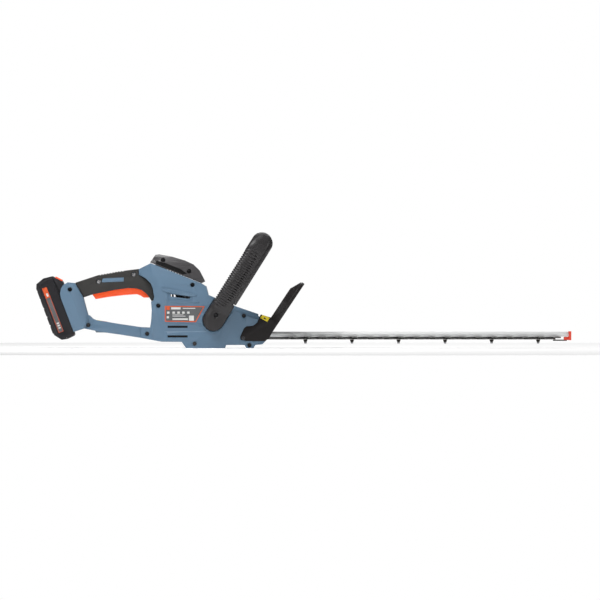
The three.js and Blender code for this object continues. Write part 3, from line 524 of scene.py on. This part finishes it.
grilleShape = {
    "sunk": 3.4,  # how far below the housing's flat side the grilles lie
    "vents": (39.4, 21.7),
    "ventSpan": (-71, -30),
    "ventHalf": 3,
    "louvres": 6,
    "louvreFrom": -62,
    "louvreEvery": 6.6,
    "louvreSpan": (103, 87),
    "louvreDeep": 2.4,
    "frameDeep": 2,
    "lintel": [(-67, 101.5), (-67, 104), (-26, 104), (-26, 97)],
    "sill": ((-67, 86), (-26, 88)),
}
labelShape = {
    "outline": [(-73.9, 77.9), (-0.6, 77.2), (-17, 48), (-73.9, 48.9)],
    "sunk": 0.42,
    "thick": 0.3,
    "rim": 1.1,
    "slope": 0.5,
    "step": 0.08,  # how far the panel lies below its rim
    "inkRaised": 0.12,
    # the printed bars and blocks, each from its lower rear to its upper front corner
    "labelOrange": [(-71, 70.5, -65, 76)],
    "labelWhite": [(-62.5, 71.5, -45, 75.5), (-41, 72.6, -18, 74.2), (-60, 52, -31.5, 55)]
    + [(-29.5, 50.6, -20.5, 60)]
    + [(x, 63.5, x + 4.5, 67.5) for x in (-70, -60, -51, -42, -33)]
    + [(-70.5, 55, -66.5, 59), (-60, 58.5, -36, 59.6), (-60, 61, -40, 61.9)],
}


def buildGrille(side, way):
    g = grilleShape
    inner = way * bodyHalf / mm - way * g["sunk"]
    (left, right), half = g["ventSpan"], g["ventHalf"]
    bits = [block(f"vent_{n}", (left, inner, z - half), (right, inner - way, z + half))
            for n, z in enumerate(g["vents"])]
    top, bottom = g["louvreSpan"]
    for n in range(g["louvres"]):
        x = g["louvreFrom"] + g["louvreEvery"] * n
        outline = [(x, top), (x + 2.2, top), (x + 4.2, bottom), (x + 2, bottom)]
        bits.append(plate("louvre", outline, inner, inner - way * g["louvreDeep"]))
    deep = inner - way * g["frameDeep"]
    (x0, z0), (x1, z1) = g["sill"]
    bits.append(block("sill", (x0, inner, z0), (x1, deep, z1)))
    bits.append(plate("lintel", g["lintel"], inner, deep))
    grille = joinAll(f"vent_grille_{side}", bits)
    place(grille, "tool", "dark", "black_plastic")


def buildRatingLabel(side, way):  # a film with an orange rim, and bars and blocks in place of print
    t = labelShape
    under = way * bodyHalf / mm - way * t["sunk"]
    film = plate("film", t["outline"], under + way * t["thick"], under)
    mesh = editing(film, "FACE")
    for face in mesh.faces:
        face.select = face.normal.y * way > 0.9
    bmesh.update_edit_mesh(film.data)
    bpy.ops.mesh.inset(thickness=t["rim"] * mm, depth=0)
    bpy.ops.mesh.inset(thickness=t["slope"] * mm, depth=-t["step"] * mm)
    doneEditing()
    film.data.materials.append(finishes["labelOrange"])
    film.data.materials.append(finishes["labelGrey"])
    panel = under + way * (t["thick"] - t["step"])
    for face in film.data.polygons:
        inside = all(abs(film.data.vertices[v].co.y / mm - panel) < 0.02 for v in face.vertices)
        face.material_index = 1 if inside else 0
    near = panel - way * 0.02
    bits = []
    for ink in ("labelOrange", "labelWhite"):
        for x0, z0, x1, z1 in t[ink]:
            bit = block("print", (x0, near, z0), (x1, near + way * t["inkRaised"], z1))
            bit.data.materials.append(finishes[ink])
            bits.append(bit)
    label = joinAll(f"rating_label_{side}", [film] + bits)
    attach(label, "tool")


for side, way in sides.items():
    buildHousing(side, way)
    buildGrille(side, way)
    buildRatingLabel(side, way)
print("housing done")


# rear grip
gripShape = {
    "half": 17,
    "round": 5.5,
    "ribFrom": -194,
    "ribEvery": 5.2,
    "ribs": 9,
    "ribRadius": 1.7,
    "strip": [(-191.1, 121.2), (-189.3, 128.6), (-150.4, 130.4), (-150.4, 123)],
    "stripDeep": 1.0,
    "stripRaised": 0.5,
}


def buildGrip(side, way):
    g = gripShape
    piece = copyNode(f"rear_grip_{side}", f"grip_skin_{side}")
    softenEdges(piece, g["round"], 5, atSide(g["half"] * mm), shortest=0)
    for n in range(g["ribs"]):
        x = g["ribFrom"] + g["ribEvery"] * n
        found, spot, normal, face = piece.ray_cast(at(x, way * 6, 200), Vector((0, 0, -1)))
        if found:
            z = (spot.z - soleZ) / mm + 0.3
            shape(piece, rod("rib", x, z, -way * 2, way * 20, g["ribRadius"], 12))
    flat = way * g["half"]
    floor = flat - way * g["stripDeep"]
    shape(piece, plate("strip_room", g["strip"], flat + way * 2, floor))
    softenEdges(piece, 0.5, 2, sharp=35)
    smooth(piece, 35)
    place(piece, "tool", "grip", "soft_grip", f"rear_grip_{side}")
    proud = flat + way * g["stripRaised"]
    strip = plate(f"grip_strip_{side}", g["strip"], floor, proud)
    softenEdges(strip, 0.6, 3, atDepth(proud, 0.1), shortest=0.5)
    smooth(strip)
    place(strip, "tool", "blue", "blue_plastic")


for side, way in sides.items():
    buildGrip(side, way)
print("rear grip done")


# top cover
coverShape = {
    "crownRound": 3.4,
    "baffle": [(-92, 152), (-92, 162.5), (-44, 151), (-30, 141), (-30, 132.5)],
    "baffleDepths": (27.6, 25.8),
    "bars": range(-88, -36, 5),
    "barWide": 1.4,
    "barDepths": (28.3, 27),
}


def buildCover(side, way):
    c = coverShape
    piece = copyNode(f"top_cover_{side}", f"cover_shell_{side}")

    def crown(edge):  # a long edge clear of the seam
        return edge.calc_length() > 11 * mm and min(abs(v.co.y) for v in edge.verts) > 5 * mm

    softenEdges(piece, c["crownRound"], 4, crown, sharp=9, shortest=1.0)
    softenEdges(piece, 0.6, 2, sharp=35)
    smooth(piece, 28)
    place(piece, "tool", "cover", "black_plastic", f"top_cover_{side}")
    near, far = c["baffleDepths"]
    bits = [plate(f"intake_grille_{side}", c["baffle"], way * near, way * far)]
    near, far = c["barDepths"]
    for x in c["bars"]:  # each bar's ends follow the window's sloping edges
        top, bottom, front = 162 - 0.4 * (x + 90), 150 - 0.35 * (x + 90), x + c["barWide"]
        outline = [(x, top), (front, top), (front, bottom), (x, bottom)]
        bits.append(plate("bar", outline, way * near, way * far))
    place(joinAll(f"intake_grille_{side}", bits), "tool", "dark", "black_plastic")


for side, way in sides.items():
    buildCover(side, way)
print("cover done")


# trigger and small CAD pieces that only need softer edges
tongueShape = {"from": 10, "high": 3}  # the tip guard's tongue: how far behind its nose, and how high
nutTaper = 0.62


def polish(node, body, finish, slot, width=0.5, segments=2, degrees=35, sharp=28):
    piece = copyNode(node, f"{node}_finished")
    softenEdges(piece, width, segments, sharp=sharp)
    smooth(piece, degrees)
    return place(piece, body, finish, slot, node)


polish("trigger", "trigger", "orange", "orange_plastic", 0.8, 3, 40)
tip = polish("tip_guard", "tool", "red", "red_plastic", 1.6, 3)
tip.data.materials.append(finishes["nut"])
tipLow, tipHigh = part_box("tip_guard")
for face in tip.data.polygons:  # the tongue under the blades is dark
    behind = face.center.x < tipHigh.x - tongueShape["from"] * mm
    if behind and face.center.z < tipLow.z + tongueShape["high"] * mm:
        face.material_index = 1
polish("battery_latch", "latch", "orange", "orange_plastic", 1.2, 3)
for index in (1, 2):
    polish(f"grip_screw_{index}", "tool", "brightScrew", "screw_steel", 0.4, 2)
for side in sides:
    polish(f"guard_screw_{side}", "tool", "screw", "screw_steel", 0.4, 2)
for index in range(1, 7):
    polish(f"blade_bolt_{index}", "tool", "steel", "screw_steel", 0.3, 2)
    nut = copyNode(f"lock_nut_{index}", f"lock_nut_{index}_finished")
    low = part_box(f"lock_nut_{index}")[0].z
    middle = sum(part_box(f"lock_nut_{index}"), Vector()) / 2  # its lower end is drawn in about its axis
    for vertex in editing(nut, "VERT").verts:
        vertex.select = vertex.co.z < low + 0.05 * mm
    bpy.ops.transform.resize(value=(nutTaper, nutTaper, 1), center_override=middle)
    doneEditing()
    softenEdges(nut, 0.3, 2)
    smooth(nut, 35)
    place(nut, "tool", "nut", "screw_steel", f"lock_nut_{index}")
print("small pieces done")


# hand guard
tagShape = {
    "outline": [(101.6, 55.6), (105.9, 61.2), (119.4, 56.8), (114.8, 48.4)],
    "depths": (-0.1, 0.7),
    "mark": [(107.2, 54), (110.4, 57.6), (113.4, 52.6)],
    "markDepths": (0.6, 0.85),
    "from": 33.3,  # the bracket's face
}


def buildGuard():
    piece = copyNode("hand_guard", "guard_shell")
    softenEdges(piece, 1.0, 3, sharp=24, shortest=1.2)
    smooth(piece, 35)
    place(piece, "tool", "guard", "black_plastic", "hand_guard")
    for side, way in sides.items():
        face = tagShape["from"]
        near, far = [way * (face + depth) for depth in tagShape["depths"]]
        tag = plate(f"bracket_tag_{side}", tagShape["outline"], near, far)
        softenEdges(tag, 0.3, 2)
        tag.data.materials.append(finishes["labelYellow"])
        near, far = [way * (face + depth) for depth in tagShape["markDepths"]]
        mark = plate("mark", tagShape["mark"], near, far)
        mark.data.materials.append(finishes["labelDark"])
        tag = joinAll(f"bracket_tag_{side}", [tag, mark])
        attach(tag, "tool")


buildGuard()
print("guard done")


# front handle
handleShape = {
    "radius": 19.35,  # half its depth
    "reach": 168.6,
    "out": 84, "outRound": 34, "top": 189.1,
    "inner": 60, "innerRound": 16, "under": 158.1,
    "footIn": 36.9, "footOut": 57.9,
    "front": 14.35,  # where its front face lies, behind the lever
    "legTop": 130,  # where the ribbed part's cross-sections end
    "skin": 0.15,  # the soft cover lies this far inside the solid
    "ribPitch": 4.6, "ribDeep": 1.9, "ribSunk": 0.4,
    "ribFrom": 27, "ribTo": 147, "ribEdge": 6.6,
    "legRound": {"back": (14, 10), "front": (3, 3), "innerBack": (9, 7), "innerFront": (3, 2.5)},
    "barRound": {"back": (19.3, 19), "front": (14.3, 10), "innerBack": (10, 7), "innerFront": (3, 2.5)},
}


def between(values, z):  # a straight-line reading of (z, value) pairs
    for (z0, v0), (z1, v1) in zip(values, values[1:]):
        if z <= z1:
            return v0 + (v1 - v0) * max(0, z - z0) / (z1 - z0)
    return values[-1][1]


def handleStations():
    # each is a cross-section's inner and outer point as (y, z), its reach to the back and to the front,
    # and how far it is a bar
    h = handleShape
    outLine = [(-30, h["footOut"]), (22, h["footOut"]), (60, h["out"] - 4), (74, h["out"])]
    inLine = [(-30, h["footIn"]), (24, h["footIn"]), (62, h["inner"] - 3), (74, h["inner"])]
    frontLine = [(-30, h["radius"]), (41.8, h["radius"]), (43.8, h["front"]), (300, h["front"])]
    leg = []
    levels = [-h["radius"] * math.cos(math.radians(6 + 12 * n)) for n in range(8)] + [1, 8, 16, 22]
    start, step = h["ribFrom"] - 3, h["ribPitch"] / 4
    levels += [start + step * n for n in range(math.ceil((h["legTop"] - start) / step))] + [41.8, 43.8]
    for z in sorted(levels):
        back = math.sqrt(h["radius"] ** 2 - z * z) if z < 0 else h["radius"]
        front = min(back, between(frontLine, z))
        leg.append(((between(inLine, z), z), (between(outLine, z), z), back, front, 0))
    outMid, inMid = h["out"] - h["outRound"], h["inner"] - h["innerRound"]
    base = h["legTop"]
    low, high = h["under"] - h["innerRound"], h["top"] - h["outRound"]
    for n in range(1, 20):
        t = n / 20
        inPoint, outPoint = (h["inner"], base + (low - base) * t), (h["out"], base + (high - base) * t)
        leg.append((inPoint, outPoint, h["radius"], h["front"], 0))
    for n in range(15):
        turn = math.radians(90 * n / 14)
        along, rise = math.cos(turn), 1 - math.sin(turn)
        inPoint = (inMid + h["innerRound"] * along, h["under"] - h["innerRound"] * rise)
        outPoint = (outMid + h["outRound"] * along, h["top"] - h["outRound"] * rise)
        leg.append((inPoint, outPoint, h["radius"], h["front"], n / 14))
    for t in (0.66, 0.33, 0):
        leg.append(((inMid * t, h["under"]), (outMid * t, h["top"]), h["radius"], h["front"], 1))
    mirrored = [((-i[0], i[1]), (-o[0], o[1]), *rest) for i, o, *rest in reversed(leg[:-1])]
    return leg + mirrored


def handleSection(thick, back, front, bar):
    # points as (x, distance from the inner line), with outward directions
    h = handleShape
    half = back + front
    points = []
    corners = [("innerBack", -1, -1, 180), ("innerFront", 1, -1, 270), ("front", 1, 1, 0), ("back", -1, 1, 90)]
    for name, sideways, outwards, start in corners:
        (legA, legB), (barA, barB) = h["legRound"][name], h["barRound"][name]
        a = min(legA + (barA - legA) * bar, half * 0.48)
        b = min(legB + (barB - legB) * bar, thick * 0.6)
        x = (front - a) if sideways > 0 else (a - back)
        n = (thick - b) if outwards > 0 else b
        for step in range(8):
            turn = math.radians(start + 90 * step / 7)
            points.append((x + a * math.cos(turn), n + b * math.sin(turn), math.cos(turn), math.sin(turn)))
        if name == "front":  # the flat between the two outer corners gets points of its own for the ribs' ends
            far = h["legRound"]["back"][0] - back
            edge = front - a
            for t in (0.3, 0.42, 0.5, 0.58, 0.75):
                points.append((edge + (far - edge) * t if edge > far + 2 else edge, thick, 0, 1))
    return points


def handleSkin():
    h = handleShape
    stations = handleStations()
    count = len(handleSection(20, 19, 14, 0))  # every cross-section has as many points
    deselectAll()
    bpy.ops.mesh.primitive_grid_add(x_subdivisions=count, y_subdivisions=len(stations) - 1)
    piece = named("skin")
    for row, (inner, outer, back, front, bar) in enumerate(stations):
        start, end = Vector(inner), Vector(outer)
        thick = (end - start).length
        outward = (end - start).normalized()
        ring = handleSection(thick - 2 * h["skin"], back, front, bar)
        level = (inner[1] + outer[1]) / 2
        for column in range(count + 1):
            x, n, dx, dn = ring[column % count]
            low, high = h["ribFrom"] + 0.05 * (x + 7) ** 2, h["ribTo"] - 0.02 * (x + 7) ** 2
            if bar == 0 and low < level < high and x < h["ribEdge"]:
                phase = (level - h["ribFrom"] + 3) / h["ribPitch"] % 1
                groove = max(0, math.cos(2 * math.pi * phase)) ** 1.5
                deep = h["ribSunk"] + h["ribDeep"] * groove
                x, n = x - dx * deep, n - dn * deep
            place = start + outward * (n + h["skin"])
            piece.data.vertices[row * (count + 1) + column].co = Vector((x, place.x, place.y)) * mm
    editing(piece, "VERT")
    bpy.ops.mesh.select_all(action="SELECT")
    bpy.ops.mesh.remove_doubles(threshold=1e-6)
    bpy.ops.mesh.select_all(action="SELECT")
    bpy.ops.mesh.fill_holes(sides=0)
    bpy.ops.mesh.select_all(action="SELECT")
    bpy.ops.mesh.normals_make_consistent(inside=False)
    if bmesh.from_edit_mesh(piece.data).calc_volume(signed=True) < 0:
        bpy.ops.mesh.flip_normals()
    doneEditing()
    moveMesh(piece, handleFrame)
    return piece


def buildHandle():
    piece = copyNode("front_handle", "handle_loop")
    shape(piece, handleSkin(), "INTERSECT", "MANIFOLD")
    smooth(piece, 50)
    place(piece, "tool", "handle", "soft_grip", "front_handle")
    lever = copyNode("front_switch_lever", "lever_strip")
    softenEdges(lever, 2.2, 4, sharp=25, shortest=0.8)
    smooth(lever, 35)
    place(lever, "switch_lever", "lever", "black_plastic", "front_switch_lever")
    for side in sides:
        polish(f"handle_screw_{side}", "tool", "screw", "screw_steel", 0.4, 2)


buildHandle()
print("front handle done")


# battery pack
batteryShape = {
    "round": 2.2,
    "bumpers": [-44, -27, -10, 7, 24, 41],
    "bumperDeep": 1.6,
    "notchDeep": 6.5,
    "backCorner": [(-40.9, 30), (-29.1, 40.3), (-26.8, 37.6), (-38.6, 27.3)],  # in plan
    "topCorner": [(40.3, 52.1), (31, 62.9), (28.4, 60.6), (37.6, 49.8)],  # seen from behind
    "labelLow": (-27, -46),
    "labelHigh": (-16.4, 43),
    "labelSunk": 0.9,
    "labelGap": 0.8,
    "labelBars": (7, 11.5, 16),
    "labelBarHigh": 2.6,
}


def cornerLiners():  # the wall behind the pack's chamfers, cut to the pack's own outside
    b = batteryShape
    for way in (-1, 1):
        standing, lengthways = [Matrix.Rotation(math.pi / 2, 4, axis) for axis in "XZ"]
        back = plate("liner", [(x, -way * y) for x, y in b["backCorner"]], -62, 62, standing)
        top = plate("liner", [(way * y, z) for y, z in b["topCorner"]], 8, 41, lengthways)
        for liner in (back, top):
            outside = copyNode("battery_case", "outside")
            moveMesh(outside, dockFrame.inverted())
            editing(outside)
            bpy.ops.mesh.select_all(action="SELECT")
            bpy.ops.mesh.convex_hull()
            doneEditing()
            shape(liner, outside, "INTERSECT", "MANIFOLD")
            yield liner


def wedgeOutline(x, wide, tip, narrow, z):  # as (x, z) points, about the height z
    return [(x, z - wide), (x, z + wide), (tip, z + narrow), (tip, z - narrow)]


def buildBattery():
    b = batteryShape
    half = -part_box("battery_case")[0].y / mm
    piece = copyNode("battery_case", "battery_shell")
    moveMesh(piece, dockFrame.inverted())
    back = min(v.co.x for v in piece.data.vertices) / mm
    for liner in cornerLiners():
        shape(piece, liner, "UNION", "MANIFOLD")

    def outer(edge):
        return edge.is_convex and max(v.co.x for v in edge.verts) < -3 * mm

    softenEdges(piece, b["round"], 3, outer, sharp=22, shortest=1.0)
    still = Matrix.Identity(4)
    clear, sunk = half + 1, half - b["labelSunk"]
    for z in b["bumpers"]:
        outline = wedgeOutline(back - 2, 3.4, back + b["bumperDeep"], 0.7, z)
        shape(piece, plate("bumper", outline, -clear, clear, still), solver="MANIFOLD")
        outline = wedgeOutline(back - 1, 3, back + b["notchDeep"], 0.5, z)
        for way in (-1, 1):
            shape(piece, plate("notch", outline, way * clear, way * sunk, still), solver="MANIFOLD")
    low, high = b["labelLow"], b["labelHigh"]
    for way in (-1, 1):
        room = block("room", (low[0], way * clear, low[1]), (high[0], way * sunk, high[1]), still)
        softenEdges(room, 1.6, 2, lambda e: abs(e.verts[0].co.y - e.verts[1].co.y) > 1 * mm, shortest=0)
        shape(piece, room, solver="MANIFOLD")
    softenEdges(piece, 0.5, 2, sharp=30)
    moveMesh(piece, dockFrame)
    smooth(piece, 32)
    place(piece, "battery", "battery", "black_plastic", "battery_case")
    for side, way in sides.items():
        floor = way * sunk

        def film(name, x0, z0, x1, z1, finish, rise):
            made = block(name, (x0, floor + way * 0.02, z0), (x1, floor + way * rise, z1), dockFrame)
            made.data.materials.append(finishes[finish])
            return made

        gap = b["labelGap"]
        x0, z0, x1, z1 = low[0] + gap, low[1] + gap, high[0] - gap, high[1] - gap
        bits = [
            film("rim", x0, z0, x1, z1, "labelOrange", 0.2),
            film("panel", x0 + gap, z0 + gap, x1 - gap, z1 - gap, "labelGrey", 0.3),
            film("tab", x0 + gap, z1 - 20, x1 - gap, z1 - gap, "labelOrange", 0.4),
            film("patch", x0 + 3.4, z1 - 17.5, x1 - 2.2, z1 - 11.5, "labelWhite", 0.5),
        ]
        for z in b["labelBars"]:
            top = z0 + z + b["labelBarHigh"]
            bits.append(film("bar", x0 + 2.2, z0 + z, x1 - 2.4, top, "labelWhite", 0.4))
        label = joinAll(f"battery_label_{side}", bits)
        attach(label, "battery")
    polish("battery_rail_cover", "battery", "battery", "black_plastic", 1.0, 3)


buildBattery()
print("battery done")


# blades and guide bar
bladeShape = {"root": 11.9, "spine": 12.4, "ground": 0.7, "fine": 0.15}
barShape = {"grooveBelow": 3.1, "grooveHigh": 0.7, "grooveDeep": 0.35}


def buildBlade(node, body, way):
    piece = copyNode(node, f"{node}_ground")
    low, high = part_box(node)
    face = high.z if way > 0 else low.z

    def cutting(edge):  # an edge of a tooth, on the blade's outer face
        flat = all(abs(v.co.z - face) < 0.05 * mm for v in edge.verts)
        near, far = sorted(abs(v.co.y) for v in edge.verts)
        return flat and near > bladeShape["root"] * mm and far > bladeShape["spine"] * mm

    softenEdges(piece, bladeShape["ground"], 1, cutting, shortest=0.5)
    softenEdges(piece, bladeShape["fine"], 1, sharp=50)
    smooth(piece, 25)
    place(piece, body, "blade", "dark_steel", node)


def buildBar():
    piece = copyNode("guide_bar", "guide_bar_brushed")
    low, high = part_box("guide_bar")
    for way in (-1, 1):
        side = way * high.y / mm
        line = (high.z - soleZ) / mm - barShape["grooveBelow"]
        start = ((low.x - gearX) / mm - 5, side + way, line)
        end = ((high.x - gearX) / mm + 5, side - way * barShape["grooveDeep"], line + barShape["grooveHigh"])
        shape(piece, block("groove", start, end))
    softenEdges(piece, 0.5, 2, sharp=28)
    smooth(piece, 35)
    place(piece, "tool", "bar", "bright_metal", "guide_bar")


buildBlade("upper_blade", "upper_blade", 1)
buildBlade("lower_blade", "lower_blade", -1)
buildBar()
print("blades done")

# a small pad under the strut, and a sticker along its top
padShape = {"outline": [(-204, 33), (-202, 28.8), (-175.4, 28.4), (-175.4, 31)], "half": 9}
stickerShape = {"ends": (-201, -191, -181), "half": 13, "thick": 0.3}
pad = plate("strut_pad", padShape["outline"], -padShape["half"], padShape["half"])
softenEdges(pad, 0.6, 2)
smooth(pad)
place(pad, "tool", "grey", "blue_plastic")


def buildSticker():  # a two-coloured film along the strut's top
    body = bpy.data.objects["housing_shell_left"]
    half, thick = stickerShape["half"], stickerShape["thick"]
    tops = []
    for x in stickerShape["ends"]:
        found, spot, normal, face = body.ray_cast(at(x, -8, 60), Vector((0, 0, -1)))
        tops.append((x, (spot.z - soleZ) / mm))
    bits = []
    for ink, (start, end) in {"labelYellow": tops[:2], "labelPink": tops[1:]}.items():
        (x0, z0), (x1, z1) = start, end
        outline = [(x0, z0 - thick), (x1, z1 - thick), (x1, z1 + thick), (x0, z0 + thick)]
        bit = plate("film", outline, -half, half)
        bit.data.materials.append(finishes[ink])
        bits.append(bit)
    sticker = joinAll("strut_sticker", bits)
    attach(sticker, "tool")


buildSticker()
print("strut done")


# finishes of the CAD nodes that stay
keptFinishes = {
    "cooling_fan": "dark", "trigger_switch": "dark", "terminal_block": "dark",
    "switch_plunger": "red", "battery_cells": "cells", "control_board": "board",
    "motor_can": "steel", "motor_rotor": "steel", "gear_case": "cast", "gear_plate": "steel", "drive_gear": "cast",
    "eccentric_cam": "steel", "gear_shaft": "steel", "trigger_spring": "steel",
}
for name, node in frame["nodes"].items():
    finish = keptFinishes.get(name, "screw")
    node.data.materials.clear()
    node.data.materials.append(finishes[finish])
print("CAD finishes done")


# floor, lights and camera
stageShape = {
    "floorRadius": 1.6,
    "floorDrop": 0.0002,
    "soft": 0.14,  # the light from all round
    "middle": (-7.3, 88.8),  # what the camera looks at, and how wide and from how far
    "width": 1110,
    "distance": 12.0,
}
lamps = {  # place, size, power in watts and the aim along the tool of each soft box
    "key": ((-1.9, -1.3, 1.9), 0.7, 12, 0),
    "near": ((-0.48, -0.42, 0.72), 0.3, 4.2, -0.2),
    "fill": ((0.9, -2.6, 0.6), 1.4, 6, 0),
    "edge": ((2.4, -0.5, 0.8), 0.8, 14, 0),
    "rim": ((0.2, 2.2, 1.8), 1.6, 22, 0),
    "top": ((0.2, -0.2, 2.6), 1.2, 14, 0),
}


def buildStage():
    s = stageShape
    deselectAll()
    bpy.ops.mesh.primitive_circle_add(
        vertices=96, radius=s["floorRadius"], fill_type="NGON", location=(0, 0, soleZ - s["floorDrop"]),
    )
    floor = named("floor")
    bpy.ops.object.transform_apply(location=True, rotation=True, scale=True)
    finish = Finish("pale_floor")
    speckle = finish.noise(40, 3)
    tone = finish.between(speckle, linear(246, 246, 246), linear(252, 252, 252))
    finish.surface(Emission_Color=tone, Emission_Strength=0.25)
    floor.data.materials.append(finish.surface(Base_Color=tone, Roughness=0.7))

    world = bpy.data.worlds.new("studio")
    bpy.context.scene.world = world
    world.use_nodes = True
    nodes, links = world.node_tree.nodes, world.node_tree.links
    soft = next(n for n in nodes if n.type == "BACKGROUND")
    soft.inputs["Color"].default_value = (1, 1, 1, 1)
    soft.inputs["Strength"].default_value = s["soft"]
    backdrop = nodes.new("ShaderNodeBackground")  # what stands white behind the tool
    backdrop.inputs["Color"].default_value = (1, 1, 1, 1)
    ray, mix = nodes.new("ShaderNodeLightPath"), nodes.new("ShaderNodeMixShader")
    output = next(n for n in nodes if n.type == "OUTPUT_WORLD")
    links.new(ray.outputs["Is Camera Ray"], mix.inputs["Fac"])
    links.new(soft.outputs["Background"], mix.inputs[1])
    links.new(backdrop.outputs["Background"], mix.inputs[2])
    links.new(mix.outputs["Shader"], output.inputs["Surface"])

    for name, (spot, size, power, along) in lamps.items():
        deselectAll()
        bpy.ops.object.light_add(type="AREA", location=spot)
        lamp = bpy.context.object
        lamp.name = name
        lamp.data.size = size
        lamp.data.energy = power
        aim = Vector((along, 0, 0.08))
        lamp.rotation_euler = (aim - Vector(spot)).to_track_quat("-Z", "Y").to_euler()

    x, z = s["middle"]
    deselectAll()
    bpy.ops.object.camera_add(
        location=(x * mm, -s["distance"], soleZ + z * mm), rotation=(math.pi / 2, 0, 0),
    )
    camera = bpy.context.object
    camera.data.sensor_width = 36
    camera.data.lens = 36 * s["distance"] / (s["width"] * mm)
    camera.data.clip_end = 60
    bpy.context.scene.camera = camera
    bpy.context.scene.view_settings.view_transform = "Standard"


buildStage()
print("stage done")
